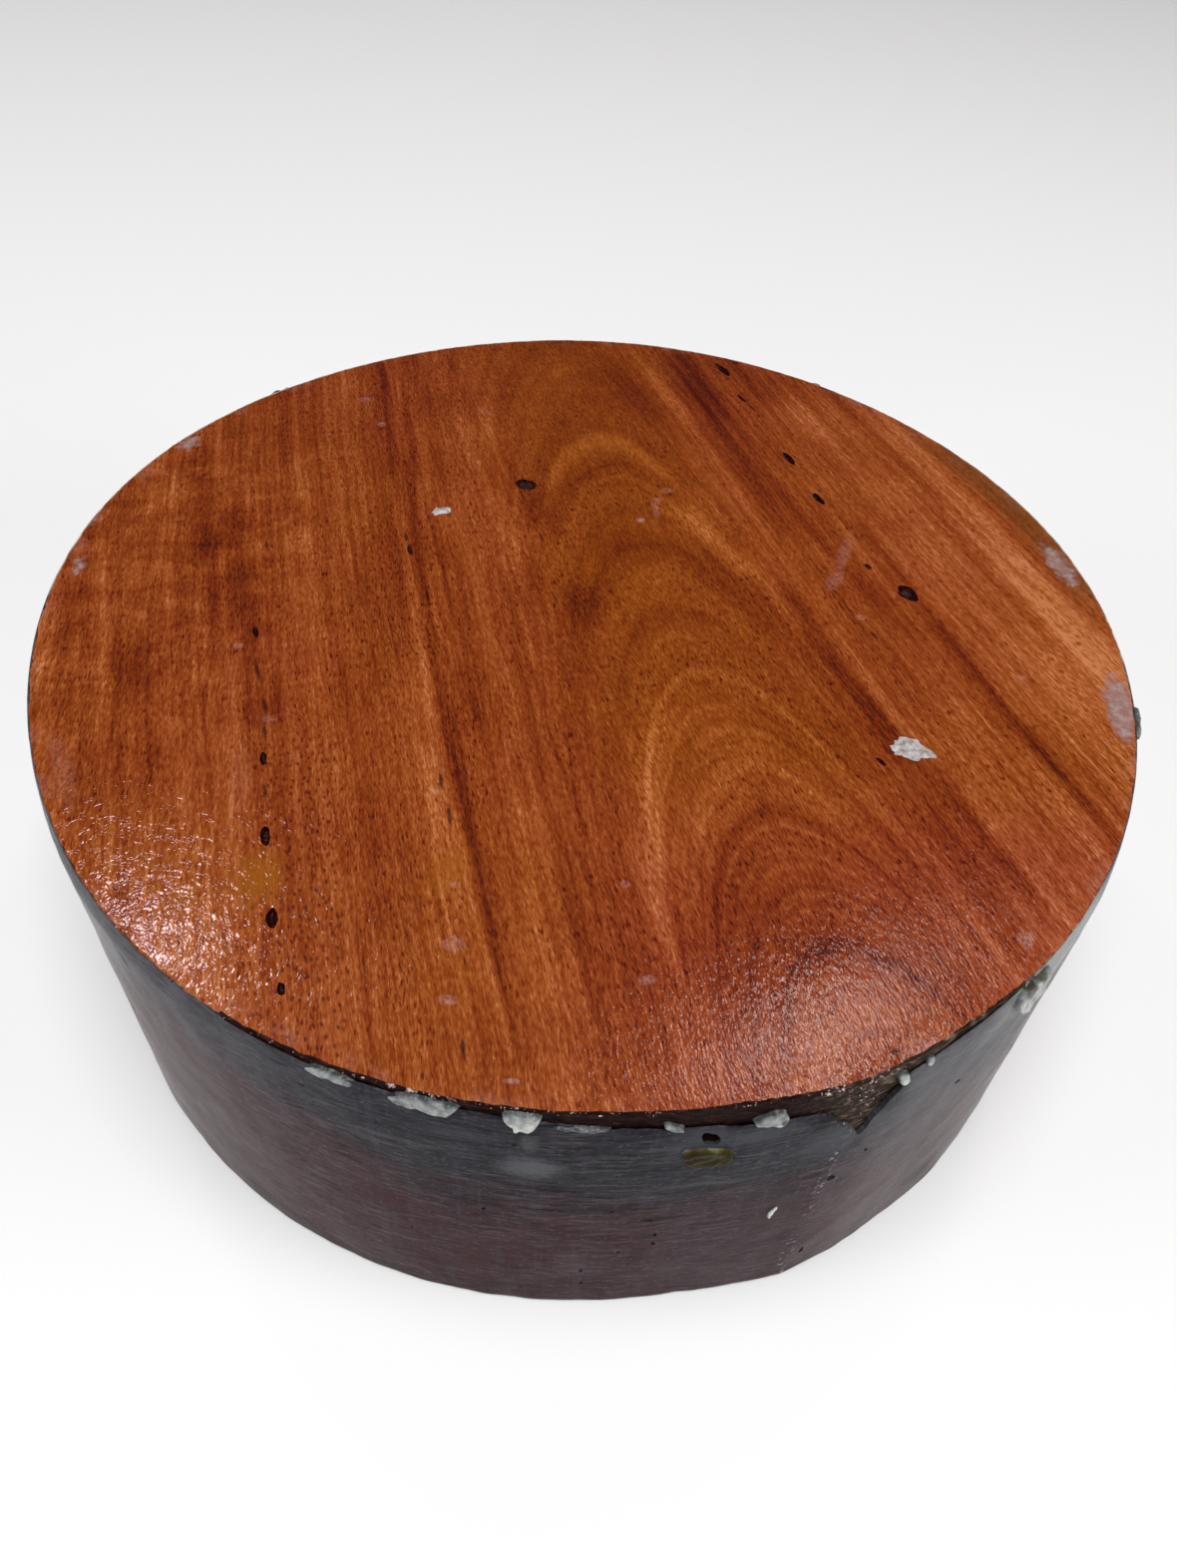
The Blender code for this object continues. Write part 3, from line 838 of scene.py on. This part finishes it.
def lump_shade(name, shine, rough, stops, speck_colour, speck_share, stains=()):
    """Wax whose colour follows its thickness, from a clear thin edge to its thickest part."""
    w = Wiring(name)
    point, x, y, z = w.place_mm()
    proud = w.node("ShaderNodeAttribute", attribute_name="proud").outputs["Fac"]
    cloud = w.noise(point, 0.75, 3)
    speck = w.noise(point, 1.8, 2)
    colour = w.ramp(w.add(proud, centred(w, cloud, 1.1)), stops)
    colour = w.mix(w.mul(w.step(speck, 0.62, 0.72), speck_share), colour, speck_colour)
    for angle, depth, reach, tint in stains:
        gap = w.node("ShaderNodeVectorMath", operation="DISTANCE")
        w.join(gap.inputs[0], point)
        w.join(gap.inputs[1], on_wall(angle, depth, MM) / MM)
        near = w.step(w.add(gap.outputs["Value"], centred(w, cloud, 1.6)), reach, reach * 0.4)
        colour = w.mix(w.mul(near, 0.85), colour, tint)
    relief = w.mul(w.add(w.mul(cloud, 0.2), w.mul(speck, 0.06)), rough)
    w.set(
        base_color=colour, roughness=w.add(0.24, centred(w, cloud, 0.2)), ior=1.43,
        specular_ior_level=shine, normal=w.bump(relief),
    )
    return w.material


def pale_wax():
    """White wax, greyer and clearer where it thins out against the wall."""
    return lump_shade("white_wax_lumps", 0.22, 1, (
        (0, (0.04, 0.044, 0.046)), (0.3, (0.14, 0.15, 0.15)), (0.65, (0.34, 0.36, 0.345)),
        (1, (0.64, 0.65, 0.61)),
    ), (0.1, 0.085, 0.075), 0.45, (
        (288.9, 5.6, 1.1, (0.05, 0.026, 0.014)), (315, 1.2, 1.5, (0.06, 0.056, 0.026)),
        (313.2, 1.4, 2.3, (0.026, 0.024, 0.01)),
    ))


def olive_wax():
    """Olive-brown translucent wax with a paler skin at its edge."""
    return lump_shade("olive_wax", 0.018, 0.5, (
        (0.26, (0.15, 0.15, 0.11)), (0.46, (0.08, 0.074, 0.03)), (0.66, (0.046, 0.04, 0.01)),
        (1, (0.024, 0.018, 0.004)),
    ), (0.01, 0.004, 0.001), 0.6, ((282, 12.8, 2.4, (0.022, 0.008, 0.003)),))


def flake_wax():
    """Dry white wax: chalky, with thin grey places."""
    w = Wiring("white_wax_flakes")
    point, x, y, z = w.place_mm()
    cloud = w.noise(point, 0.9, 4, 0.6)
    colour = w.ramp(cloud, (
        (0.3, (0.2, 0.16, 0.155)), (0.5, (0.37, 0.34, 0.33)), (0.7, (0.56, 0.54, 0.53)),
    ))
    w.set(
        base_color=colour, roughness=w.add(0.42, centred(w, cloud, 0.3)), ior=1.43,
        normal=w.bump(w.mul(cloud, 0.24)),
    )
    return w.material


def film_wax():
    """A breath of wax that thins out to nothing: the wood shows through it."""
    w = Wiring("wax_film")
    point, x, y, z = w.place_mm()
    fade = w.node("ShaderNodeAttribute", attribute_name="cover").outputs["Fac"]
    cloud = w.noise(point, 0.5, 4, 0.6)
    colour = w.mix(w.step(cloud, 0.4, 0.7), (0.38, 0.21, 0.19), (0.52, 0.39, 0.37))
    cover = w.step(w.add(fade, centred(w, cloud, 1)), 0.02, 0.5)
    w.set(
        base_color=colour, roughness=0.4, ior=1.43, normal=w.bump(w.mul(cloud, 0.2)),
        alpha=w.mul(cover, 0.46),
    )
    return w.material


def crumb_stuff():
    """Crumbs of wax and torn wood, each piece of it its own shade."""
    w = Wiring("wax_crumbs")
    point, x, y, z = w.place_mm()
    shade = w.noise(point, 0.9, 1)
    colour = w.ramp(shade, (
        (0.34, (0.03, 0.01, 0.007)), (0.47, (0.11, 0.045, 0.034)), (0.58, (0.26, 0.17, 0.15)),
        (0.7, (0.56, 0.5, 0.48)),
    ))
    w.set(base_color=colour, roughness=0.45, ior=1.43, normal=w.bump(w.mul(w.noise(point, 4), 0.2)))
    return w.material


# ---- the pieces ----

def wood_blank(finish, wall_finish, gum):
    """The slice: a sawn drum with softened, slightly ragged rims, its pockets and knot hole open."""
    shape = bmesh.new()
    bmesh.ops.create_cone(
        shape, cap_ends=True, segments=WALL_POINTS, radius1=RADIUS, radius2=RADIUS, depth=THICKNESS,
        matrix=Matrix.Translation((0, 0, THICKNESS / 2)),
    )
    upright = [e for e in shape.edges if abs(e.verts[0].co.z - e.verts[1].co.z) > THICKNESS / 2]
    rims = [e for e in shape.edges if e not in set(upright)]
    bmesh.ops.subdivide_edges(shape, edges=upright, cuts=WALL_ROWS, use_grid_fill=True)
    bmesh.ops.bevel(
        shape, geom=rims, offset=RIM_ROUND, segments=2, profile=0.5, affect="EDGES", material=-1,
    )
    for v in shape.verts:
        angle = angle_of(v.co)
        share = hypot(v.co.x, v.co.y) / RADIUS
        r = share * wall_radius(angle, v.co.z)
        spot = Vector((r * cos(radians(angle)), r * sin(radians(angle)), v.co.z))
        r += WALL_WANDER * wander(spot, 14 * MM, 3)
        if v.co.z > THICKNESS - 1.2 * MM:
            r += RIM_RAGGED * (0.5 * wander(spot, 2.6 * MM, 4) + 0.5 * wander(spot, 0.9 * MM, 5))
        v.co.x = r * cos(radians(angle))
        v.co.y = r * sin(radians(angle))
    for face in shape.faces:
        middle = face.calc_center_median()
        bare = coat_edge(angle_of(middle)) > BARE_FROM
        top = THICKNESS - (0.02 * MM if bare else RIM_ROUND + 0.05 * MM)
        face.material_index = int(0.3 * MM < middle.z < top)
    finishes = (finish, wall_finish, gum)
    blank = new_piece("wood_slice", shape, *finishes)
    cutters = []
    for number, (x, y, length, width, depth, heading) in enumerate(GUM_POCKETS):
        pocket = pebble((length / 2 * MM, width / 2 * MM, depth * MM), number + 1.5)
        cutters.append(cutter_from(pocket, on_face(x, y, heading), finishes, 2))
    angle, depth, half_width, half_height, reach = KNOT_HOLE
    hole = pebble((half_width * MM, reach * MM, half_height * MM), 40)
    cutters.append(cutter_from(hole, turned(on_wall(angle, depth), angle - 90), finishes, 1))
    carve(blank, cutters)
    blank.data.set_sharp_from_angle(angle=radians(30))
    for face in blank.data.polygons:
        face.use_smooth = abs(face.normal.z) < 0.9999
    stands_for("wood_blank")


# Small holes through the coat: angle, depth, half-width, half-height, lean in degrees.
COAT_PITS = (
    (296.2, 33, 0.8, 1.5, 35), (309, 22, 0.6, 1.2, 50), (297, 66, 0.5, 1.6, 0),
    (283.2, 8.4, 1.5, 2.5, 20), (276, 33, 0.9, 0.35, 5), (279.5, 37.4, 1.3, 0.35, -4),
    (280.6, 44, 0.4, 0.8, 0), (280.6, 48, 0.4, 0.7, 0), (265, 35, 0.4, 0.6, 0),
    (267.6, 10.2, 0.5, 0.4, 10), (274.2, 60, 0.35, 0.8, 0), (274.4, 66, 0.35, 0.7, 0),
    (230, 8, 0.4, 1.4, 30), (222, 40, 0.5, 1.5, 40), (237, 22, 0.5, 0.4, 0),
    (299, 27, 0.3, 0.8, 20), (277.5, 51, 0.4, 0.3, 0), (250, 8, 0.6, 0.3, 0),
    (285.6, 15.8, 0.35, 0.4, 0), (268, 60, 0.25, 0.4, 0), (258, 50, 0.3, 0.3, 0),
)


def notch_cutter():
    """A wedge with torn sides, for breaking the notch out of the coat."""
    shape = bmesh.new()
    corners = [shape.verts.new((radians(a - NOTCH[0][0]) * RADIUS, 0, -d * MM)) for a, d in NOTCH]
    bmesh.ops.contextual_create(shape, geom=corners)
    bmesh.ops.subdivide_edges(shape, edges=shape.edges[:], cuts=3)
    for v in shape.verts:
        v.co += 0.22 * MM * noise.noise_vector(v.co / (1.1 * MM))
        v.co.y = 0.0
    outer = bmesh.ops.extrude_face_region(shape, geom=shape.faces[:])["geom"]
    moved = {v for v in outer if isinstance(v, bmesh.types.BMVert)}
    for v in shape.verts:
        angle = NOTCH[0][0] + degrees(v.co.x / RADIUS)
        flare = 1.15 if v in moved else 1.0
        v.co = on_wall(angle, -v.co.z / MM * flare, 4 * MM if v in moved else -2 * MM)
    bmesh.ops.triangulate(shape, faces=shape.faces)
    bmesh.ops.recalc_face_normals(shape, faces=shape.faces)
    return cutter_from(shape, Matrix())


def wax_coat(finish):
    """The wax on the wall, with a wavy surface, a rounded ragged lip and small holes."""
    shape = bmesh.new()
    bmesh.ops.create_circle(shape, cap_ends=False, segments=WALL_POINTS, radius=RADIUS)
    ring = shape.edges[:]
    row_of = {v: 0 for v in shape.verts}
    for row in range(1, COAT_ROWS + 1):
        grown = bmesh.ops.extrude_edge_only(shape, edges=ring)["geom"]
        ring = [e for e in grown if isinstance(e, bmesh.types.BMEdge)]
        row_of.update({v: row for v in grown if isinstance(v, bmesh.types.BMVert)})
    for v, row in row_of.items():
        angle = angle_of(v.co)
        edge = THICKNESS - coat_edge(angle) * MM
        height = COAT_FOOT + (edge - COAT_FOOT) * (row / COAT_ROWS) ** 0.85
        spot = on_wall(angle, (THICKNESS - height) / MM)
        wave = 0.16 * wander(spot, 11 * MM, 6) + 0.1 * wander(spot, 4 * MM, 7)
        sag = 0.25 * max(0, wander(Vector((spot.x, spot.y, spot.z * 0.35)), 6 * MM, 8))
        out = COAT_GAP + (0.25 + wave + sag) * MM
        if coat_edge(angle) < BARE_FROM and row >= COAT_ROWS - 1:
            out *= 0.1 if row == COAT_ROWS else 0.7
        v.co = on_wall(angle, (THICKNESS - height) / MM, out)
    bmesh.ops.recalc_face_normals(shape, faces=shape.faces)
    if sum(f.normal.dot(f.calc_center_median()) for f in shape.faces[:50]) < 0:
        bmesh.ops.reverse_faces(shape, faces=shape.faces)
    shape.verts.index_update()
    rows = {v.index: row_of[v] for v in shape.verts}
    coat = new_piece("wax_coat_skin", shape, finish)
    film = coat.vertex_groups.new(name="film")
    for index, row in rows.items():
        film.add([index], 0.25 if row == COAT_ROWS else 0.75 if row == COAT_ROWS - 1 else 1, "ADD")
    shell = coat.modifiers.new("thickness", "SOLIDIFY")
    shell.thickness = COAT_THICKNESS
    shell.offset = 0.2
    shell.vertex_group = "film"
    shell.thickness_vertex_group = 0.1
    bake_modifiers(coat)
    cutters = [notch_cutter()]
    for number, (angle, depth, half_width, half_height, lean) in enumerate(COAT_PITS):
        pit = pebble((half_width * MM, 2.4 * MM, half_height * MM), number + 60, 0.35, 2)
        place = turned(on_wall(angle, depth), angle - 90) @ Matrix.Rotation(radians(lean), 4, "Y")
        cutters.append(cutter_from(pit, place))
    carve(coat, cutters)
    coat.data.shade_smooth()
    coat.data.set_sharp_from_angle(angle=radians(50))
    stands_for("wax_coat")


# Lumps of wax on the wall: node, how proud its top and its foot stand (mm), how milky it is from 0
# to 1, and its outline as (angle, depth).
LUMPS = (
    ("rim_drip_1", 0.9, 1, 0.55, (
        (250.2, 2.4), (251.2, 2.9), (252.4, 2.9), (254, 2.5), (255.2, 2.1), (254.4, 1.3), (253.2, 0.5),
        (252, 0.5), (251, 1.2))),
    ("rim_drip_2", 0.9, 1.1, 0.56, (
        (257, 2.4), (257.9, 3.4), (259.4, 3.9), (261.4, 4.3), (262.8, 4.2), (263.2, 3), (263.8, 1.2),
        (262.9, 0.5), (261, 0.35), (259.4, 0.35), (258, 1.2))),
    ("rim_drip_3", 1, 1.5, 1, (
        (266.3, 0.8), (266.9, 2.6), (267.3, 4), (267.4, 5.4), (267.9, 5.4), (268.1, 4.4), (268.8, 4.8),
        (269.3, 4.2), (269.6, 2.4), (269.9, 0.5), (269.6, 0.35), (268.4, 0.3), (267.2, 0.3))),
    ("rim_drip_4", 0.8, 0.8, 0.16, (
        (270, 3.5), (271, 4.1), (273, 4.5), (275.4, 4.4), (275.3, 4), (273.4, 3.5), (271.6, 3.2))),
    ("rim_drip_5", 0.9, 1, 0.4, (
        (278.9, 2.9), (279.5, 4), (280.2, 5.1), (281, 5.3), (280.9, 4.6), (280.2, 3.6), (279.5, 2.7))),
    ("rim_drip_6", 1, 1.3, 0.64, (
        (286, 5), (286.9, 5.9), (287.8, 6.7), (288.7, 7), (289.3, 6.5), (289.4, 4.9), (289, 3.3),
        (288.2, 2.9), (287.2, 3.7))),
    ("rim_drip_7", 0.9, 1, 0.8, (
        (298.6, 3), (298.8, 4.6), (299.4, 6), (300, 6.2), (300.2, 5), (299.8, 3.2), (299.2, 2.2))),
    ("rim_drip_8", 0.9, 0.9, 0.6, (
        (301.3, 2.2), (301.5, 3.6), (302, 4.4), (302.5, 3.8), (302.4, 2.6), (301.9, 1.8))),
    ("rim_drip_9", 1.5, 2.3, 0.8, (
        (311.6, 1), (311.4, 3), (311.9, 5.2), (312.8, 7.2), (313.8, 8.2), (315, 7.4), (316, 5.6),
        (316.6, 3.2), (316.8, 1.2), (315.8, 0.45), (314.2, 0.4), (312.6, 0.45))),
    ("rim_drip_10", 1.2, 1.8, 0.7, (
        (348.6, 1.6), (349.6, 4.2), (351.6, 4.6), (353.4, 3.2), (353.4, 0.8), (351, 0.1), (349.4, 0.4))),
    ("rim_drip_11", 1.4, 2, 0.75, (
        (60.2, 1.2), (60.8, 4.4), (62.2, 5.8), (63.4, 4.6), (63.8, 1.4), (62.4, 0.1), (61, 0.1))),
    ("rim_drip_12", 1.2, 1.8, 0.7, (
        (135.8, 1.4), (136.8, 3.8), (139, 4.6), (140.4, 3), (140.2, 0.8), (138, 0.1), (136.4, 0.3))),
    ("amber_lump", 1.5, 1.7, 1, (
        (280.8, 10.8), (280.7, 12.2), (281, 14.4), (281.7, 16.2), (282.8, 17.2), (284.3, 17.6),
        (285.5, 17), (285.9, 15.2), (285.7, 13), (284.8, 11.8), (283.2, 11.1), (281.7, 10.7))),
    ("side_chip", 1.2, 1.3, 1, (
        (291.1, 39.8), (290.9, 41.6), (291, 43.2), (291.3, 43), (291.6, 41.2), (291.7, 39),
        (291.5, 38.6))),
)
LUMP_VOXEL = 0.16 * MM
LUMP_SINK = 0.8


def wax_lump(node, top_proud, foot_proud, milk, outline, finish, slot):
    """A cushion of wax with that outline, moulded to the wall."""
    ripple = 0.15 if node == "amber_lump" else 0.30
    centre = sum(a for a, _ in outline) / len(outline)
    upper = min(d for _, d in outline)
    lower = max(d for _, d in outline)
    shape = bmesh.new()
    corners = [shape.verts.new((radians(a - centre) * RADIUS, 0, (lower - d) * MM)) for a, d in outline]
    bmesh.ops.contextual_create(shape, geom=corners)
    middle = sum((v.co for v in corners), Vector()) / len(corners)
    outer = bmesh.ops.extrude_face_region(shape, geom=shape.faces[:])["geom"]
    for v in (v for v in outer if isinstance(v, bmesh.types.BMVert)):
        v.co = middle + (v.co - middle) * 0.80
        share = v.co.z / ((lower - upper) * MM)
        v.co.y = (LUMP_SINK + foot_proud + (top_proud - foot_proud) * share) * MM
    bmesh.ops.recalc_face_normals(shape, faces=shape.faces)
    lump = new_piece(node + "_wax", shape, finish)
    filled = lump.modifiers.new("fill", "REMESH")
    filled.mode = "VOXEL"
    filled.voxel_size = LUMP_VOXEL
    soften = lump.modifiers.new("soften", "SMOOTH")
    soften.factor = 0.5
    soften.iterations = 9
    bake_modifiers(lump)
    shape = bmesh.new()
    shape.from_mesh(lump.data)
    proud = shape.verts.layers.float.new("proud")
    for v in shape.verts:
        out = v.co.y / MM - LUMP_SINK
        wavy = v.co + ripple * MM * noise.noise_vector(v.co / (1.5 * MM) + Vector((centre, 0, 0)))
        v[proud] = milk * max(0, out - 0.4) / max(0.6, foot_proud - 0.4)
        v.co = on_wall(centre + degrees(wavy.x / RADIUS), lower - wavy.z / MM, wavy.y - LUMP_SINK * MM)
    shape.to_mesh(lump.data)
    shape.free()
    lump.data.shade_smooth()
    stands_for(node)


# Where crumbs cling: how many, from and to which angle, from and to which depth, and their sizes.
CRUMB_SHOWERS = (
    (110, 224, 292, -0.05, 0.5, 0.08, 0.2), (30, 300, 330, -0.05, 0.5, 0.08, 0.22),
    (34, 292, 299.5, -0.1, 1.4, 0.1, 0.28), (16, 294, 299, 1, 4.5, 0.1, 0.26),
    (12, 294, 298.5, 4, 12, 0.1, 0.22), (26, 257.5, 263, -0.15, 0.3, 0.14, 0.34),
)


def crumbs(finish):
    """Crumbs of wax and torn fibre along the front rim, thickest beside the notch."""
    draw = Random(11)
    shape = bmesh.new()
    places = []
    for count, low, high, top, foot, small, large in CRUMB_SHOWERS:
        for _ in range(count):
            places.append((draw.uniform(low, high), draw.uniform(top, foot), draw.uniform(small, large)))
    for angle, depth, size in places:
        before = len(shape.verts)
        bmesh.ops.create_icosphere(shape, subdivisions=1, radius=1.0)
        shape.verts.ensure_lookup_table()
        stretch = Vector((draw.uniform(0.8, 2.4), draw.uniform(0.5, 1), draw.uniform(0.4, 0.9)))
        spin = Matrix.Rotation(draw.uniform(0, pi), 3, "X") @ Matrix.Rotation(draw.uniform(0, pi), 3, "Z")
        at = on_wall(angle, depth, -0.1 * MM if depth < 0.3 else 0.1 * MM)
        for v in shape.verts[before:]:
            v.co = at + spin @ (v.co * stretch) * size * MM
    piece = new_piece("rim_crumbs", shape, finish)


# Flakes on the face: node, x, y, half-length, half-width, heading, height in millimetres.
FLAKES = (
    ("face_flake_1", 57.4, -28.9, 3.6, 2.3, -12, 0.45), ("face_flake_2", -32.7, 28, 2, 1.2, 20, 0.4),
    ("face_flake_3", 8.4, 30.4, 0.9, 0.6, 35, 0.2),
)
FILMS = (
    ("rim_film_1", 97.6, -14, 10.5, 3.2, 84, 1), ("rim_film_2", 94.8, 27, 9, 3, 107, 0.75),
    ("rim_film_3", -89.6, 44.8, 5.6, 3, 62, 0.55), ("rim_film_4", -98.6, 1.6, 4.2, 2.2, 88, 0.55),
)


def torn_disc(circles, segments, step):
    """A flat disc of that many nested rings, for shaping into a flake or a film."""
    shape = bmesh.new()
    cover = shape.verts.layers.float.new("cover")
    bmesh.ops.create_circle(shape, cap_ends=True, segments=segments, radius=1.0)
    for _ in range(circles):
        middle = max(shape.faces, key=lambda face: len(face.verts))
        bmesh.ops.inset_individual(shape, faces=[middle], thickness=step)
    for v in shape.verts:
        v[cover] = 1 - v.co.length
    return shape, cover


def close_below(shape, height):
    """Gives an upward skin a flat underside at that height."""
    lower = bmesh.ops.extrude_face_region(shape, geom=shape.faces[:])["geom"]
    for v in (v for v in lower if isinstance(v, bmesh.types.BMVert)):
        v.co.z = height
    bmesh.ops.recalc_face_normals(shape, faces=shape.faces)


def face_flake(node, x, y, half_length, half_width, heading, proud, finish):
    """A thin chip of wax with a torn outline, domed a little in the middle."""
    shape, cover = torn_disc(5, 72, 0.17)
    place = on_face(x, y, heading)
    for v in shape.verts:
        way = v.co.normalized()
        torn = 1 + 0.45 * noise.noise(way * 1.2 + Vector((x, y, 0))) + 0.25 * noise.noise(way * 3.5)
        dome = (1 - (1 - v[cover]) ** 2.5) * 0.8 + 0.2
        lift = proud * dome * (1 + 0.35 * noise.noise(Vector((v.co.x * 3, v.co.y * 3, x))))
        flat = Vector((v.co.x * half_length * torn, v.co.y * half_width * torn, 0)) * MM
        v.co = place @ (flat + Vector((0, 0, lift * MM)))
    close_below(shape, THICKNESS - 0.05 * MM)
    flake = new_piece(node + "_chip", shape, finish)
    flake.data.set_sharp_from_angle(angle=radians(60))
    stands_for(node)


def rim_film(node, x, y, half_length, half_width, heading, strength, finish):
    """A thin patch of wax lying on the face, fading out at its edge."""
    shape, cover = torn_disc(7, 64, 0.13)
    place = on_face(x, y, heading)
    for v in shape.verts:
        spot = place @ Vector((v.co.x * half_length * MM, v.co.y * half_width * MM, 0))
        reach = min(1, (wall_radius(angle_of(spot), THICKNESS) - RIM_ROUND) / hypot(spot.x, spot.y))
        v.co = Vector((spot.x * reach, spot.y * reach, THICKNESS + (0.02 + 0.1 * v[cover]) * MM))
        v[cover] = v[cover] * strength - 0.25 * (1 - strength)
    close_below(shape, THICKNESS + 0.01 * MM)
    film = new_piece(node + "_patch", shape, finish)
    stands_for(node)


# ---- the studio ----

# Lamps: name, place, width, power, colour. The two small ones glint on the face.
WHITE = (1, 1, 1)
LAMPS = (
    ("overhead", (0, -0.35, 1.5), 1, 22.5, WHITE), ("front_fill", (-0.3, -1.7, 0.8), 1, 1.6, WHITE),
    ("left_lamp", (-0.5, 0.552, 1.124), 0.08, 0.58, (1, 0.84, 0.92)),
    ("right_lamp", (0.302, 0.542, 1.184), 0.145, 0.74, (1, 0.81, 0.76)),
    ("right_window", (1.5, -0.3, 0.45), 0.9, 11, WHITE),
    ("left_window", (-1.5, -0.35, 0.45), 0.9, 9, WHITE),
)
# The room's light near the horizon and higher up, and the slopes between which it changes.
ROOM_LOW = 0.45
ROOM_HIGH = 0.03
ROOM_FADE = (0.02, 0.3)
FLOOR_REACH = 6.0


def studio():
    """A pale floor, soft light from above, and two small lamps behind that glint on the face."""
    shape = bmesh.new()
    bmesh.ops.create_grid(shape, x_segments=1, y_segments=1, size=FLOOR_REACH)
    paint = Wiring("pale_floor")
    paint.set(base_color=(0.86, 0.86, 0.86), roughness=0.9, specular_ior_level=0.1)
    add_object("floor", mesh_from("floor", shape, paint.material))

    # The room is lighter near the horizon than above, so the face stays deep in colour.
    world = bpy.data.worlds.new("soft_room")
    world.use_nodes = True
    tree = world.node_tree
    way = tree.nodes.new("ShaderNodeTexCoord")
    split = tree.nodes.new("ShaderNodeSeparateXYZ")
    fade = tree.nodes.new("ShaderNodeMapRange")
    fade.interpolation_type = "SMOOTHSTEP"
    for socket, value in zip(list(fade.inputs)[1:5], (*ROOM_FADE, ROOM_LOW, ROOM_HIGH)):
        socket.default_value = value
    tree.links.new(way.outputs["Generated"], split.inputs[0])
    tree.links.new(split.outputs["Z"], fade.inputs["Value"])
    tree.links.new(fade.outputs[0], tree.nodes["Background"].inputs["Strength"])
    tree.nodes["Background"].inputs["Color"].default_value = (1, 1, 1, 1)
    bpy.context.scene.world = world

    for name, at, size, power, tint in LAMPS:
        lamp = bpy.data.lights.new(name, "AREA")
        lamp.shape = "DISK"
        lamp.size = size
        lamp.energy = power
        lamp.color = tint
        made = add_object(name, lamp)
        made.location = at
        aim = Vector((0, 0, THICKNESS)) - Vector(at)
        made.rotation_euler = aim.to_track_quat("-Z", "Y").to_euler()


# The viewpoint: its place from the face's centre in radii, its tilt and roll in degrees, its lens.
CAMERA_BACK = -1.6842
CAMERA_RIGHT = 0.0195
CAMERA_UP = 1.4648
CAMERA_DOWN = 49.22
CAMERA_ROLL = 4.71
CAMERA_LENS = 27.05


def camera():
    """The viewpoint."""
    lens = bpy.data.cameras.new("camera")
    lens.lens = CAMERA_LENS
    lens.sensor_width = 36
    made = add_object("camera", lens)
    down, roll = radians(CAMERA_DOWN), radians(CAMERA_ROLL)
    forward = Vector((0, cos(down), -sin(down)))
    level = Vector((1, 0, 0))
    upward = level.cross(forward)
    right = cos(roll) * level + sin(roll) * upward
    up = cos(roll) * upward - sin(roll) * level
    turn = Matrix((right, up, -forward)).transposed().to_4x4()
    at = Vector((CAMERA_RIGHT, CAMERA_BACK, CAMERA_UP)) * RADIUS + Vector((0, 0, THICKNESS))
    made.matrix_world = Matrix.Translation(at) @ turn
    bpy.context.scene.camera = made


def main():
    noise.seed_set(RIPPLE_SEED)
    bpy.context.scene.view_settings.view_transform = "Standard"
    camera()
    studio()
    wood_blank(heartwood(), bare_wall(), dark_gum())
    wax_coat(coat_wax())
    white, olive = pale_wax(), olive_wax()
    for node, *facts in LUMPS:
        amber = node == "amber_lump"
        wax_lump(node, *facts, olive if amber else white, "amber_wax" if amber else "white_wax")
    crumbs(crumb_stuff())
    chalk = flake_wax()
    breath = film_wax()
    for row in FLAKES:
        face_flake(*row, breath if row[0] == "face_flake_3" else chalk)
    for row in FILMS:
        rim_film(*row, breath)


main()
